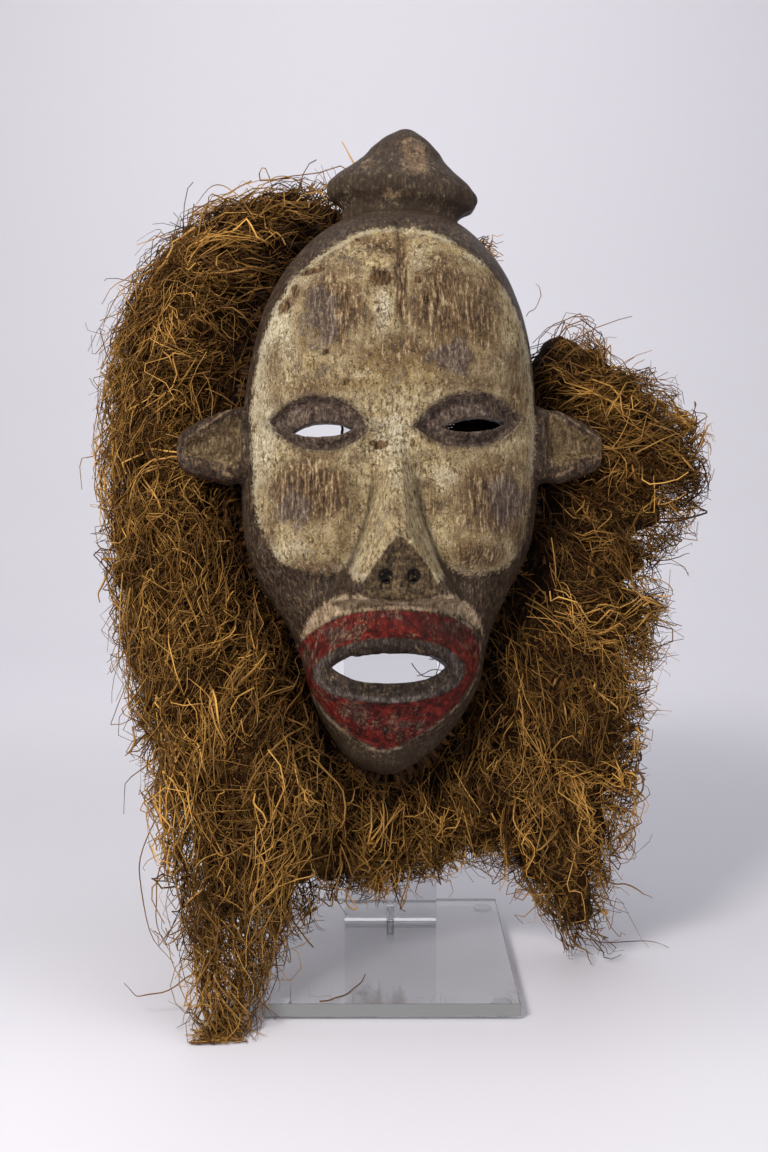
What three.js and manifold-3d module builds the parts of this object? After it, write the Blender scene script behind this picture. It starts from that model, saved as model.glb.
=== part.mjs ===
// A carved wooden yaka mask with a ruff of raffia, hanging on its clear acrylic stand.
// Millimetres, +Z up. The face looks along -Y, and +X is on the right of someone who faces it.

import * as THREE from 'three';
import { LoftGeometry } from 'three/addons/geometries/LoftGeometry.js';
import { mergeVertices } from 'three/addons/utils/BufferGeometryUtils.js';
import Module from 'manifold-3d';

const wasm = await Module();
wasm.setup();

// The stand: a plate on four clear feet, and an upright strip held by a peg through its foot
const PLATE = { width: 160, depth: 200, thickness: 8, corner: 1 };
const FOOT = { diameter: 13, height: 2.3, inset: 11, sides: 12 };
const UPRIGHT = { width: 66, thickness: 10, front: 49, top: 497.5, cornerRadius: 9 };
const PEG = { diameter: 5, inPlate: 6, inUpright: 10, clearance: 0.3, sides: 12 };
const GAP = 0.3;

// Where the mask hangs: the middle of the back of its rim, how far it leans back and turns
const HANG = { x: 0.9, y: 30.6, z: 336, lean: 12, turn: 4 };

// The mask, in its own frame: u to the right, w up, and n forward from the flat back of the rim.
// Its outline runs from the chin up the left side, over the crown and down the right side.
const OUTLINE = [
  [-4, -207], [-28, -200], [-43, -183], [-56, -157], [-63, -131], [-72, -108], [-88, -84],
  [-99, -58], [-103, -24], [-103, 10], [-101, 44], [-95, 79], [-86, 110], [-69, 139], [-45, 161],
  [3, 175], [50, 163], [77, 133], [89, 105], [95, 79], [98, 44], [100, 10], [98, -25],
  [91, -59], [76, -88], [63, -116], [55, -148], [42, -171], [24, -191],
];
// How far the middle of the face stands forward at each height, before it rounds in at the ends
const FORWARD = [
  [-207, 62], [-150, 72], [-100, 68], [-55, 66], [-10, 68], [30, 78], [70, 90], [110, 97], [175, 92],
];
const HEAD = { middle: -16, halfHeight: 191.5, endRound: 3.2, sideRound: 2.5, wall: 12 };

// Each eye is an almond hollow with a bulging lid, and a slit cut through it
const EYES = [
  { u: -51, w: 17, length: 34, above: 17, below: 17, tilt: -8, slitU: -49, slitW: 14, slit: 19.5, slitTilt: 0 },
  { u: 45.5, w: 19, length: 38, above: 17, below: 17, tilt: 7, slitU: 49, slitW: 17.5, slit: 22, slitTilt: 8 },
];
const EYE = { depth: 6.5, lid: 4.5, slitHeight: 9, sides: 18 };

// The nose is a wedge: ridge heights and half widths down from the bridge, cut below by a flat base
const NOSE = {
  u: -3.5, bridge: 6, tip: -59, base: -97, rise: 0.5, ridge: 4.5, tipHeight: 31, baseSlope: 0.6, levels: 12,
};
const NOSE_WIDTH = [[8, 9], [-4, 14], [-34, 17], [-59, 24.5], [-76, 32], [-90, 40], [-97, 42]];
const NOSTRIL = { apart: 17, u: -2.5, w: -84, diameter: 8.5, depth: 22, slant: -20 };

// The mouth pushes forward as one broad swelling with a raised ring of lip round the opening
const MOUTH = {
  u: -8, w: -138, halfWidth: 37, halfHeight: 11, ringU: -8.5, ringW: -141, ringWidth: 44, ringHeight: 18,
  ringRise: 7, swelling: 8, swellWidth: 56, swellHeight: 44,
};
const CHEEK = { u: 54, w: -40, width: 36, height: 34, rise: 4, step: 5, stepAt: -74, stepRun: 9 };
const GROOVE = { halfWidth: 3.6, depth: 2, from: 74, to: 152 };
const BROW = { rise: 4, w: 52, spread: 17, u: 48, reach: 34 };

// Ears: root and tip in u, with the top, bottom, front and back there, and the scoop in each
const EAR = { root: 88, tip: 145, rootTop: 43, rootLow: -16, tipTop: 22, tipLow: -3 };
const EAR_DEPTH = { rootFront: 38, rootBack: 3, tipFront: 27, tipBack: 8 };
const SCOOPS = [{ side: -1, depth: 17, grow: 1 }, { side: 1, depth: 11, grow: 0.8 }];

// The knob on the crown: a conical cap on a short neck, as half widths and heights above its foot
const KNOB = { u: 6, w: 166, n: 28, tilt: 5, flatten: 0.52 };
const KNOB_PROFILE = [
  [0, -14], [40, -14], [40.5, 0], [39, 5], [43, 9], [49, 12], [51.5, 17], [51, 22], [45, 29],
  [34, 38], [27.5, 44], [24, 50], [15, 59], [5, 65.5], [0, 67],
];

// The raffia ruff. Each lock leaves the rim at a fraction of the way round the outline, passes a
// middle point and ends at a tip, with its half width at the root, at the middle and at the tip.
const BAND = { radius: 6.5, behind: 7, outside: 1.5, tuck: 14, steps: 30, sides: 5 };
const LOCK = { sides: 6, steps: 4, flatten: 0.85, rootInset: 1, lump: 0.1, tolerance: 3 };
const LOCKS = [
  { at: 0.47, middle: [-71, 76, 517], tip: [-125, 64, 491], width: [11, 22, 17] },
  { at: 0.435, middle: [-118, 66, 484], tip: [-163, 55, 447], width: [14, 31, 20] },
  { at: 0.39, middle: [-142, 61, 444], tip: [-176, 48, 388], width: [15, 35, 20] },
  { at: 0.35, middle: [-152, 54, 390], tip: [-175, 36, 329], width: [15, 36, 20] },
  { at: 0.31, middle: [-156, 44, 339], tip: [-162, 10, 269], width: [15, 37, 20] },
  { at: 0.27, middle: [-147, 26, 292], tip: [-153, -18, 212], width: [15, 37, 22] },
  { at: 0.23, middle: [-132, 8, 242], tip: [-135, -45, 161], width: [15, 38, 22] },
  { at: 0.2, middle: [-116, -6, 203], tip: [-122, -70, 108], width: [15, 39, 20] },
  { at: 0.16, middle: [-95, -40, 136], tip: [-102, -118, 5], width: [16, 43, 8] },
  { at: 0.12, middle: [-60, -20, 128], tip: [-65, -55, 61], width: [15, 31, 12] },
  { at: 0.06, middle: [-28, 0, 102], tip: [-21, -4, 64], width: [14, 27, 15] },
  { at: 0.98, middle: [10, 5, 104], tip: [12, 8, 67], width: [14, 23, 12] },
  { at: 0.93, middle: [39, 5, 111], tip: [42, 5, 83], width: [14, 22, 11] },
  { at: 0.9, middle: [69, 5, 122], tip: [79, 0, 84], width: [14, 26, 12] },
  { at: 0.875, middle: [105, 0, 102], tip: [136, 2, 20], width: [15, 33, 14] },
  { at: 0.84, middle: [126, 6, 160], tip: [148, 5, 122], width: [14, 31, 19] },
  { at: 0.8, middle: [132, 18, 220], tip: [159, 16, 186], width: [14, 31, 18] },
  { at: 0.765, middle: [144, 36, 284], tip: [178, 32, 267], width: [13, 27, 15] },
  { at: 0.73, middle: [160, 48, 343], tip: [204, 44, 341], width: [13, 33, 16] },
  { at: 0.7, middle: [142, 58, 390], tip: [178, 52, 378], width: [12, 27, 16] },
  { at: 0.68, middle: [116, 62, 421], tip: [132, 60, 414], width: [10, 17, 12] },
];

// Colours
const WOOD = new THREE.MeshStandardMaterial({ color: 0x8f7c5c, roughness: 0.7, metalness: 0 });
const RAFFIA = new THREE.MeshStandardMaterial({ color: 0x8a5a22, roughness: 0.9, metalness: 0 });
const ACRYLIC = new THREE.MeshStandardMaterial({
  color: 0xe8eef0, roughness: 0.05, metalness: 0, transparent: true, opacity: 0.35,
});

const radians = THREE.MathUtils.degToRad;

// From 0 to 1 as x goes from one place to another, either way along
function smooth(from, to, x) {
  const t = THREE.MathUtils.clamp((x - from) / (to - from), 0, 1);
  return t * t * (3 - 2 * t);
}

// A smooth curve through a short table of [place, value] rows
function throughTable(rows, x) {
  const last = rows.length - 1;
  let i = 0;
  while (i < last - 1 && (x - rows[i + 1][0]) * (rows[last][0] - rows[0][0]) > 0) i += 1;
  const t = THREE.MathUtils.clamp((x - rows[i][0]) / (rows[i + 1][0] - rows[i][0]), 0, 1);
  const slope = (k) => {
    const a = Math.max(k - 1, 0);
    const b = Math.min(k + 1, last);
    return ((rows[b][1] - rows[a][1]) / (rows[b][0] - rows[a][0])) * (rows[i + 1][0] - rows[i][0]);
  };
  const rest = (1 - t) ** 2;
  return rows[i][1] * (1 + 2 * t) * rest + rows[i + 1][1] * (3 - 2 * t) * t * t
    + slope(i) * t * rest - slope(i + 1) * t * t * (1 - t);
}

// Solids
function toSolid(geometry) {
  const bare = new THREE.BufferGeometry();
  bare.setAttribute('position', geometry.getAttribute('position'));
  bare.setIndex(geometry.index);
  const merged = mergeVertices(bare, 1e-4);
  const corners = merged.index.array;
  const whole = [];
  for (let i = 0; i < corners.length; i += 3) {
    const [a, b, c] = corners.slice(i, i + 3);
    if (a !== b && b !== c && a !== c) whole.push(a, b, c);
  }
  const mesh = new wasm.Mesh({
    numProp: 3,
    vertProperties: new Float32Array(merged.attributes.position.array),
    triVerts: new Uint32Array(whole),
  });
  return new wasm.Manifold(mesh);
}

function toGeometry(solid) {
  const { vertProperties, triVerts } = solid.getMesh();
  const geometry = new THREE.BufferGeometry();
  geometry.setAttribute('position', new THREE.BufferAttribute(new Float32Array(vertProperties), 3));
  geometry.setIndex(Array.from(triVerts));
  geometry.computeVertexNormals();
  return geometry;
}

function biggestPiece(solid) {
  return solid.decompose().reduce((best, piece) => (piece.volume() > best.volume() ? piece : best));
}

// A skin through sections, each taken round in the order that faces outwards
function loft(sections) {
  const [first] = sections;
  const last = sections[sections.length - 1];
  const centre = (ring) => ring.reduce((sum, p) => sum.add(p), new THREE.Vector3()).divideScalar(ring.length);
  const from = centre(first);
  const along = centre(last).sub(from);
  const facing = first.reduce((sum, p, i) => {
    const next = first[(i + 1) % first.length];
    return sum.add(p.clone().sub(from).cross(next.clone().sub(from)));
  }, new THREE.Vector3());
  const rings = facing.dot(along) > 0 ? sections : sections.map((ring) => [...ring].reverse());
  return toSolid(new LoftGeometry(rings, { capStart: true, capEnd: true }));
}

// A round bar along Z between two heights
function bar(diameter, low, high, sides, x = 0, y = 0) {
  const geometry = new THREE.CylinderGeometry(diameter / 2, diameter / 2, high - low, sides);
  geometry.rotateX(Math.PI / 2);
  geometry.translate(x, y, (low + high) / 2);
  return geometry;
}

// The mask's outline, and the way from the mask's own frame to the stand's frame
const outline = new THREE.CatmullRomCurve3(
  OUTLINE.map(([u, w]) => new THREE.Vector3(u, 0, w)), true, 'centripetal',
);
outline.arcLengthDivisions = 400;
const hang = new THREE.Matrix4().makeRotationZ(radians(HANG.turn))
  .multiply(new THREE.Matrix4().makeRotationX(-radians(HANG.lean)))
  .setPosition(HANG.x, HANG.y, HANG.z);

const onMask = (u, w, n) => new THREE.Vector3(u, -n, w);

// How far forward the middle of the face stands at height w, rounding in to the chin and the crown
function forwardAt(w) {
  const toEnd = Math.min(Math.abs(w - HEAD.middle) / HEAD.halfHeight, 0.9995);
  return throughTable(FORWARD, w) * (1 - toEnd ** HEAD.endRound) ** (1 / HEAD.endRound);
}

// Carving on the face
function mouthRelief(u, w) {
  const broad = ((u - MOUTH.u) / MOUTH.swellWidth) ** 2 + ((w - MOUTH.ringW) / MOUTH.swellHeight) ** 2;
  const ring = Math.hypot((u - MOUTH.ringU) / MOUTH.ringWidth, (w - MOUTH.ringW) / MOUTH.ringHeight);
  const crest = Math.exp(-(((ring - 1) * MOUTH.ringHeight) ** 2) / (ring > 1 ? 34 : 60));
  return MOUTH.swelling * Math.max(0, 1 - broad) ** 0.7 + MOUTH.ringRise * crest
    - (ring < 1 ? 5 * (1 - ring) : 0);
}

function cheekRelief(u, w) {
  const off = ((Math.abs(u + 3) - CHEEK.u) / CHEEK.width) ** 2 + ((w - CHEEK.w) / CHEEK.height) ** 2;
  const out = Math.abs(u + 3);
  const below = smooth(CHEEK.stepAt + CHEEK.stepRun, CHEEK.stepAt - CHEEK.stepRun, w)
    * smooth(-150, -100, w) * smooth(18, 44, out);
  return CHEEK.rise * Math.exp(-off) - CHEEK.step * below;
}

function foreheadRelief(u, w) {
  const middle = 0.03 * w;
  const along = smooth(GROOVE.from - 6, GROOVE.from + 6, w) * smooth(GROOVE.to + 6, GROOVE.to - 4, w);
  const groove = GROOVE.depth * along * (1 - smooth(GROOVE.halfWidth, GROOVE.halfWidth + 3, Math.abs(u - middle)));
  const brow = BROW.rise * Math.exp(-(((w - BROW.w) / BROW.spread) ** 2)
    - ((Math.abs(u + 2) - BROW.u) / BROW.reach) ** 2);
  return brow - groove;
}

function relief(u, w) {
  return mouthRelief(u, w) + cheekRelief(u, w) + foreheadRelief(u, w);
}

// The middle of the rim and half its width, a fraction of the way up from chin to crown
function rimLevel(fraction) {
  const left = outline.getPointAt(fraction / 2);
  const right = outline.getPointAt(1 - fraction / 2);
  const middle = left.clone().add(right).multiplyScalar(0.5);
  return { middle, half: left.distanceTo(right) / 2, across: right.sub(left).normalize() };
}

// How far forward the carved face stands at any place on it
function faceAt(u, w) {
  let [low, high] = [0, 1];
  for (let i = 0; i < 24; i += 1) {
    const between = (low + high) / 2;
    if (rimLevel(between).middle.z < w) low = between;
    else high = between;
  }
  const { middle, half } = rimLevel(low);
  const off = Math.min(Math.abs(u - middle.x) / half, 0.99);
  return forwardAt(w) * (1 - off ** HEAD.sideRound) ** (1 / HEAD.sideRound) + relief(u, w);
}

// One level of the head: a fraction up the outline from chin to crown, from the left rim round the
// front to the right rim and back along the flat back. An inset gives the hollow inside.
function headSection(fraction, columns, inset, carved, back) {
  const { middle, half: rimHalf, across } = rimLevel(fraction);
  const half = Math.max(rimHalf - inset, 2);
  const depth = Math.max(forwardAt(middle.z) - inset, 2);
  const power = 2 / HEAD.sideRound;
  const taller = 1 + Math.max(-inset, 0) / HEAD.halfHeight;
  middle.setZ(HEAD.middle + (middle.z - HEAD.middle) * taller);
  const points = [];
  for (let j = 0; j <= columns; j += 1) {
    const angle = Math.PI * (1 - j / columns);
    const reach = Math.sign(Math.cos(angle)) * Math.abs(Math.cos(angle)) ** power * half;
    const at = middle.clone().addScaledVector(across, reach);
    const fade = Math.max(Math.sin(angle), 0) ** power;
    const out = depth * fade + (carved ? relief(at.x, at.z) * smooth(0.1, 0.5, fade) : 0);
    points.push(onMask(at.x, at.z, out));
  }
  const first = points[0].clone();
  const last = points[columns].clone();
  if (back > 0) {
    points[0].setY(0);
    points.push(last.clone().setY(back), first.clone().setY(back));
  } else {
    points.push(last.clone().lerp(first, 1 / 3), last.clone().lerp(first, 2 / 3));
  }
  return points;
}

// Levels from chin to crown, closer together at the mouth, the nose and the eyes
function levels(count, from, to) {
  const crowd = (f) => 1 + 0.9 * Math.exp(-(((f - 0.53) / 0.07) ** 2)) + 0.6 * Math.exp(-(((f - 0.22) / 0.1) ** 2));
  const steps = 400;
  const sums = [0];
  for (let i = 0; i < steps; i += 1) sums.push(sums[i] + crowd(from + ((to - from) * (i + 0.5)) / steps));
  const places = [];
  let i = 0;
  for (let k = 0; k <= count; k += 1) {
    const goal = (sums[steps] * k) / count;
    while (i < steps - 1 && sums[i + 1] < goal) i += 1;
    places.push(from + ((to - from) * (i + (goal - sums[i]) / (sums[i + 1] - sums[i]))) / steps);
  }
  return places;
}

function headForm(rows, columns, grow) {
  return loft(levels(rows, 0.012, 0.985).map((f) => headSection(f, columns, -grow, grow === 0, grow)));
}

function hollowForm() {
  return loft(levels(16, 0.075, 0.915).map((f) => headSection(f, 12, HEAD.wall, false, 6)));
}

// An ear: a blunt wedge out of the side of the head, with a three-cornered scoop in its front
function earForm(side, grow) {
  const sections = [];
  for (let i = 0; i <= 4; i += 1) {
    const t = i / 4;
    const u = THREE.MathUtils.lerp(EAR.root, EAR.tip + grow, t) + (side > 0 ? -3.5 * t : 0);
    const end = i === 4 ? 0.82 : 1;
    const top = THREE.MathUtils.lerp(EAR.rootTop, EAR.tipTop, t) + grow;
    const low = THREE.MathUtils.lerp(EAR.rootLow, EAR.tipLow, t) - grow;
    const front = THREE.MathUtils.lerp(EAR_DEPTH.rootFront, EAR_DEPTH.tipFront, t) + grow;
    const back = THREE.MathUtils.lerp(EAR_DEPTH.rootBack, EAR_DEPTH.tipBack, t) - grow;
    const ring = [];
    for (let j = 0; j < 14; j += 1) {
      const angle = (2 * Math.PI * (j + 0.5)) / 14;
      const round = (v) => Math.sign(v) * Math.abs(v) ** 0.6 * end;
      ring.push(onMask(
        side * u,
        (top + low) / 2 + (round(Math.sin(angle)) * (top - low)) / 2,
        (front + back) / 2 - (round(Math.cos(angle)) * (front - back)) / 2,
      ));
    }
    sections.push(ring);
  }
  return loft(sections);
}

function earScoop({ side, depth, grow }) {
  const corners = [[139, 18.5], [101, 35], [101, -4]];
  const middle = [106, 14];
  const rim = EAR_DEPTH.rootFront + 4;
  const level = (n, size) => corners.map(([u, w]) => onMask(
    side * (middle[0] + (u - middle[0]) * size * grow),
    middle[1] + (w - middle[1]) * size * grow,
    n,
  ));
  return loft([level(rim - 4 - depth, 0.35), level(rim - 12, 0.95), level(rim, 1.12)]);
}

// The knob, turned as a cap, then squeezed front to back and tipped a little to the right
function knobForm() {
  const profile = KNOB_PROFILE.map(([r, h]) => new THREE.Vector2(r, h));
  const geometry = new THREE.LatheGeometry(profile, 18);
  geometry.rotateX(Math.PI / 2);
  geometry.scale(1, KNOB.flatten, 1);
  geometry.rotateY(radians(KNOB.tilt));
  geometry.translate(KNOB.u, -KNOB.n, KNOB.w);
  return toSolid(geometry);
}

// An eye: an almond hollow that follows the face, and the lid that bulges in it
function almond(eye, size, rise) {
  const ring = [];
  for (let j = 0; j < EYE.sides; j += 1) {
    const angle = (2 * Math.PI * j) / EYE.sides;
    const along = Math.cos(angle) * eye.length * size;
    const pinch = Math.sign(Math.sin(angle)) * (1 - Math.abs(Math.cos(angle)) ** 2.4);
    const across = pinch * (pinch > 0 ? eye.above : eye.below) * size;
    const turn = radians(eye.tilt);
    const u = eye.u + along * Math.cos(turn) - across * Math.sin(turn);
    const w = eye.w + along * Math.sin(turn) + across * Math.cos(turn);
    ring.push(onMask(u, w, faceAt(u, w) + rise));
  }
  return ring;
}

function eyeHollow(eye) {
  return loft([almond(eye, 0.86, -EYE.depth), almond(eye, 1, -1), almond(eye, 1.15, 15)]);
}

function eyeLid(eye) {
  return loft([
    almond(eye, 0.84, -EYE.depth - 1.5), almond(eye, 0.8, -EYE.depth + 1),
    almond(eye, 0.55, -EYE.depth + EYE.lid), almond(eye, 0.25, -EYE.depth + EYE.lid + 0.8),
  ]);
}

// The nose: its ridge climbs from the bridge to the tip, and below the tip its flat underside
// slopes back to the lip between the two spreading sides
function noseForm() {
  const sections = [];
  for (let i = 0; i <= NOSE.levels; i += 1) {
    const w = THREE.MathUtils.lerp(NOSE.base, NOSE.bridge, i / NOSE.levels);
    const halfWidth = throughTable(NOSE_WIDTH, w);
    const ridge = 2 + NOSE.rise * (NOSE.bridge - w);
    const under = NOSE.tipHeight + NOSE.baseSlope * (w - NOSE.tip);
    const height = Math.min(ridge, under);
    const flat = NOSE.ridge + (halfWidth - NOSE.ridge) * (1 - height / ridge);
    const out = faceAt(NOSE.u, w);
    const side = (across) => faceAt(NOSE.u + across * halfWidth, w);
    const profile = [
      [-1.04, side(-1) - 2.5], [-flat / halfWidth - 0.02, out + height - 1.2],
      [(-0.6 * flat) / halfWidth, out + height], [(0.6 * flat) / halfWidth, out + height],
      [flat / halfWidth + 0.02, out + height - 1.2], [1.04, side(1) - 2.5], [0.9, 50], [-0.9, 50],
    ];
    sections.push(profile.map(([across, n]) => onMask(NOSE.u + across * halfWidth, w, n)));
  }
  return loft(sections);
}

function nostril(side) {
  const geometry = new THREE.CylinderGeometry(NOSTRIL.diameter / 2, NOSTRIL.diameter / 2.6, NOSTRIL.depth, 10);
  geometry.rotateX(radians(90 + NOSTRIL.slant));
  const u = NOSTRIL.u + (side * NOSTRIL.apart) / 2;
  const under = NOSE.tipHeight + NOSE.baseSlope * (NOSTRIL.w - NOSE.tip);
  geometry.translate(u, -(faceAt(NOSE.u, NOSTRIL.w) + under - NOSTRIL.depth / 4), NOSTRIL.w);
  return toSolid(geometry);
}

// An opening cut straight back through the face, wider at the front by flare
function throughCut(u, w, halfWidth, halfHeight, tilt, from, to, flare, sides) {
  const ring = (n, size) => {
    const points = [];
    for (let j = 0; j < sides; j += 1) {
      const angle = (2 * Math.PI * (j + 0.5)) / sides;
      const x = Math.cos(angle) * halfWidth * size;
      const pinch = (1 - Math.abs(Math.cos(angle)) ** 3) ** 0.6;
      const z = Math.sign(Math.sin(angle)) * pinch * halfHeight * size;
      const turn = radians(tilt);
      points.push(onMask(
        u + x * Math.cos(turn) - z * Math.sin(turn),
        w + x * Math.sin(turn) + z * Math.cos(turn),
        n,
      ));
    }
    return points;
  };
  return loft([ring(from, 1), ring(to, flare)]);
}

function maskForm() {
  let form = headForm(40, 26, 0).add(noseForm()).add(knobForm()).add(earForm(-1, 0)).add(earForm(1, 0));
  for (const scoop of SCOOPS) form = form.subtract(earScoop(scoop));
  form = form.subtract(hollowForm());
  for (const eye of EYES) {
    form = form.subtract(eyeHollow(eye)).add(eyeLid(eye)).subtract(
      throughCut(eye.slitU, eye.slitW, eye.slit, EYE.slitHeight / 2, eye.slitTilt, 20, 110, 1, 12),
    );
  }
  form = form.subtract(
    throughCut(MOUTH.u, MOUTH.w, MOUTH.halfWidth, MOUTH.halfHeight, 0, 20, 110, 1, 18),
  );
  return form.subtract(nostril(-1)).subtract(nostril(1));
}

// The raffia: a knotted band behind the rim, and locks that hang from it
function bandForm() {
  const sections = [];
  for (let i = 0; i < BAND.steps; i += 1) {
    const f = i / BAND.steps;
    const at = outline.getPointAt(f);
    const along = outline.getTangentAt(f);
    const out = new THREE.Vector3(-along.z, 0, along.x);
    const tucked = smooth(0.5, 0.56, f) * smooth(0.72, 0.66, f);
    const middle = at.clone().addScaledVector(out, BAND.outside - BAND.tuck * tucked);
    const ring = [];
    for (let j = 0; j < BAND.sides; j += 1) {
      const angle = (2 * Math.PI * j) / BAND.sides;
      const radius = BAND.radius * (i % 2 ? 1.12 : 0.92);
      ring.push(middle.clone().addScaledVector(out, Math.cos(angle) * radius)
        .add(new THREE.Vector3(0, BAND.behind - Math.sin(angle) * radius, 0)));
    }
    sections.push(ring);
  }
  sections.push(sections[0]);
  return toSolid(new LoftGeometry(sections)).transform(hang.elements);
}

function lockForm({ at, middle, tip, width }) {
  const rim = outline.getPointAt(at);
  const root = new THREE.Vector3(rim.x, BAND.behind + LOCK.rootInset, rim.z).applyMatrix4(hang);
  const path = new THREE.CatmullRomCurve3([root, new THREE.Vector3(...middle), new THREE.Vector3(...tip)]);
  const depthwise = new THREE.Vector3(0, 1, 0);
  const sections = [];
  for (let i = 0; i <= LOCK.steps; i += 1) {
    const t = i / LOCK.steps;
    const centre = path.getPoint(t);
    const along = path.getTangent(t);
    const across = along.clone().cross(depthwise).normalize();
    const front = across.clone().cross(along).normalize();
    const half = throughTable([[0, width[0]], [0.5, width[1]], [1, width[2]]], t);
    const ring = [];
    for (let j = 0; j < LOCK.sides; j += 1) {
      const angle = (2 * Math.PI * (j + 0.5 * (i % 2))) / LOCK.sides;
      const lump = 1 + LOCK.lump * Math.sin(3 * angle + 40 * at + 5 * t);
      ring.push(centre.clone().addScaledVector(across, Math.cos(angle) * half * lump)
        .addScaledVector(front, Math.sin(angle) * half * lump * LOCK.flatten));
    }
    sections.push(ring);
  }
  return loft(sections);
}

function ruffForm() {
  let ruff = bandForm();
  for (const lock of LOCKS) ruff = ruff.add(lockForm(lock));
  const head = headForm(14, 12, 4).add(earForm(-1, 2)).add(earForm(1, 2)).transform(hang.elements);
  ruff = ruff.subtract(head).subtract(toSolid(uprightShape(1)));
  return biggestPiece(ruff.simplify(LOCK.tolerance));
}

// The stand's pieces
const plateTop = FOOT.height + PLATE.thickness + GAP;
const uprightFoot = plateTop + GAP;
const uprightMiddle = UPRIGHT.front + UPRIGHT.thickness / 2;

function roundedRectangle(width, low, high, topRadius) {
  const shape = new THREE.Shape();
  shape.moveTo(-width / 2, low);
  shape.lineTo(width / 2, low);
  shape.lineTo(width / 2, high - topRadius);
  shape.absarc(width / 2 - topRadius, high - topRadius, topRadius, 0, Math.PI / 2);
  shape.absarc(-width / 2 + topRadius, high - topRadius, topRadius, Math.PI / 2, Math.PI);
  return shape;
}

function uprightShape(grow) {
  const shape = roundedRectangle(
    UPRIGHT.width + 2 * grow, uprightFoot - grow, UPRIGHT.top + grow, UPRIGHT.cornerRadius,
  );
  const geometry = new THREE.ExtrudeGeometry(shape, {
    depth: UPRIGHT.thickness + 2 * grow, bevelEnabled: false, curveSegments: 5,
  });
  geometry.rotateX(Math.PI / 2);
  geometry.translate(0, uprightMiddle + UPRIGHT.thickness / 2 + grow, 0);
  return geometry;
}

function plateForm() {
  const shape = new THREE.Shape();
  const [x, y, c] = [PLATE.width / 2, PLATE.depth / 2, PLATE.corner];
  shape.moveTo(-x + c, -y);
  shape.absarc(x - c, -y + c, c, -Math.PI / 2, 0);
  shape.absarc(x - c, y - c, c, 0, Math.PI / 2);
  shape.absarc(-x + c, y - c, c, Math.PI / 2, Math.PI);
  shape.absarc(-x + c, -y + c, c, Math.PI, 1.5 * Math.PI);
  const geometry = new THREE.ExtrudeGeometry(shape, {
    depth: PLATE.thickness, bevelEnabled: false, curveSegments: 1,
  });
  geometry.translate(0, 0, plateTop - PLATE.thickness);
  const bore = bar(PEG.diameter + 2 * PEG.clearance, 0, plateTop + 2, PEG.sides, 0, uprightMiddle);
  return toSolid(geometry).subtract(toSolid(bore));
}

function uprightForm() {
  const high = uprightFoot + PEG.inUpright + PEG.clearance;
  const bore = bar(PEG.diameter + 2 * PEG.clearance, uprightFoot - 2, high, PEG.sides, 0, uprightMiddle);
  return toSolid(uprightShape(0)).subtract(toSolid(bore));
}

function piece(name, geometry, material) {
  const mesh = new THREE.Mesh(geometry, material);
  mesh.name = name;
  return mesh;
}

const group = new THREE.Group();

const head = new THREE.Group();
head.applyMatrix4(hang);
head.add(piece('mask', toGeometry(maskForm()), WOOD));
group.add(head);
group.add(piece('raffia_ruff', toGeometry(ruffForm()), RAFFIA));
group.add(piece('base_plate', toGeometry(plateForm()), ACRYLIC));
group.add(piece('upright', toGeometry(uprightForm()), ACRYLIC));
const pegLow = plateTop - PEG.inPlate;
const pegHigh = uprightFoot + PEG.inUpright;
group.add(piece('peg', bar(PEG.diameter, pegLow, pegHigh, PEG.sides, 0, uprightMiddle), ACRYLIC));
for (const [side, x] of [['left', -1], ['right', 1]]) {
  for (const [end, y] of [['front', -1], ['rear', 1]]) {
    const across = x * (PLATE.width / 2 - FOOT.inset);
    const along = y * (PLATE.depth / 2 - FOOT.inset);
    group.add(piece(`foot_${end}_${side}`, bar(FOOT.diameter, 0, FOOT.height, FOOT.sides, across, along), ACRYLIC));
  }
}

// The origin is under the middle of the whole object, on the surface that it stands on
group.updateMatrixWorld(true);
const reach = new THREE.Box3().setFromObject(group, true);
group.position.set(-(reach.min.x + reach.max.x) / 2, -(reach.min.y + reach.max.y) / 2, -reach.min.z);
group.updateMatrixWorld(true);

export default group;
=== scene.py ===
"""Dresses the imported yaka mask: carved and painted wood, a ruff of raffia, a clear stand."""

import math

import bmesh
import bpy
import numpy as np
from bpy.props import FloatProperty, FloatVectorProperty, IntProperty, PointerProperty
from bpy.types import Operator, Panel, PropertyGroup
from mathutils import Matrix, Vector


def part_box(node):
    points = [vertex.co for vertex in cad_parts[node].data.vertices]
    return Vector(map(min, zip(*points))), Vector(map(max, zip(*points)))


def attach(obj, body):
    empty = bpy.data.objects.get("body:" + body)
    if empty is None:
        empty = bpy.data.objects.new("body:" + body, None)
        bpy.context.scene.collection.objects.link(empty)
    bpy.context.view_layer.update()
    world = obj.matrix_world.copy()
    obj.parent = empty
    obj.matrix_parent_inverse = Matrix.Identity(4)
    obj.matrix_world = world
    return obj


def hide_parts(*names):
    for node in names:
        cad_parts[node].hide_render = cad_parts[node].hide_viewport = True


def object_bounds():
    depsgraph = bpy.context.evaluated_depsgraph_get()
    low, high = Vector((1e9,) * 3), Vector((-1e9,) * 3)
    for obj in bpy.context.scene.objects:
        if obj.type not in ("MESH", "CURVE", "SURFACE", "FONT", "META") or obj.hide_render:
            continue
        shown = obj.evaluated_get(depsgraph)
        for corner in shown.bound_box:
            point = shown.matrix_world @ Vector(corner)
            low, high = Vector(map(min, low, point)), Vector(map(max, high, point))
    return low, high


bl_info = {
    "name": "Yaka mask on a clear stand",
    "version": (1, 0, 0),
    "blender": (4, 5, 0),
    "location": "3D View > Sidebar > Yaka Mask",
    "description": "Carves and paints a wooden mask, ties on its raffia ruff and sets it on its stand",
    "category": "Object",
}

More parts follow.
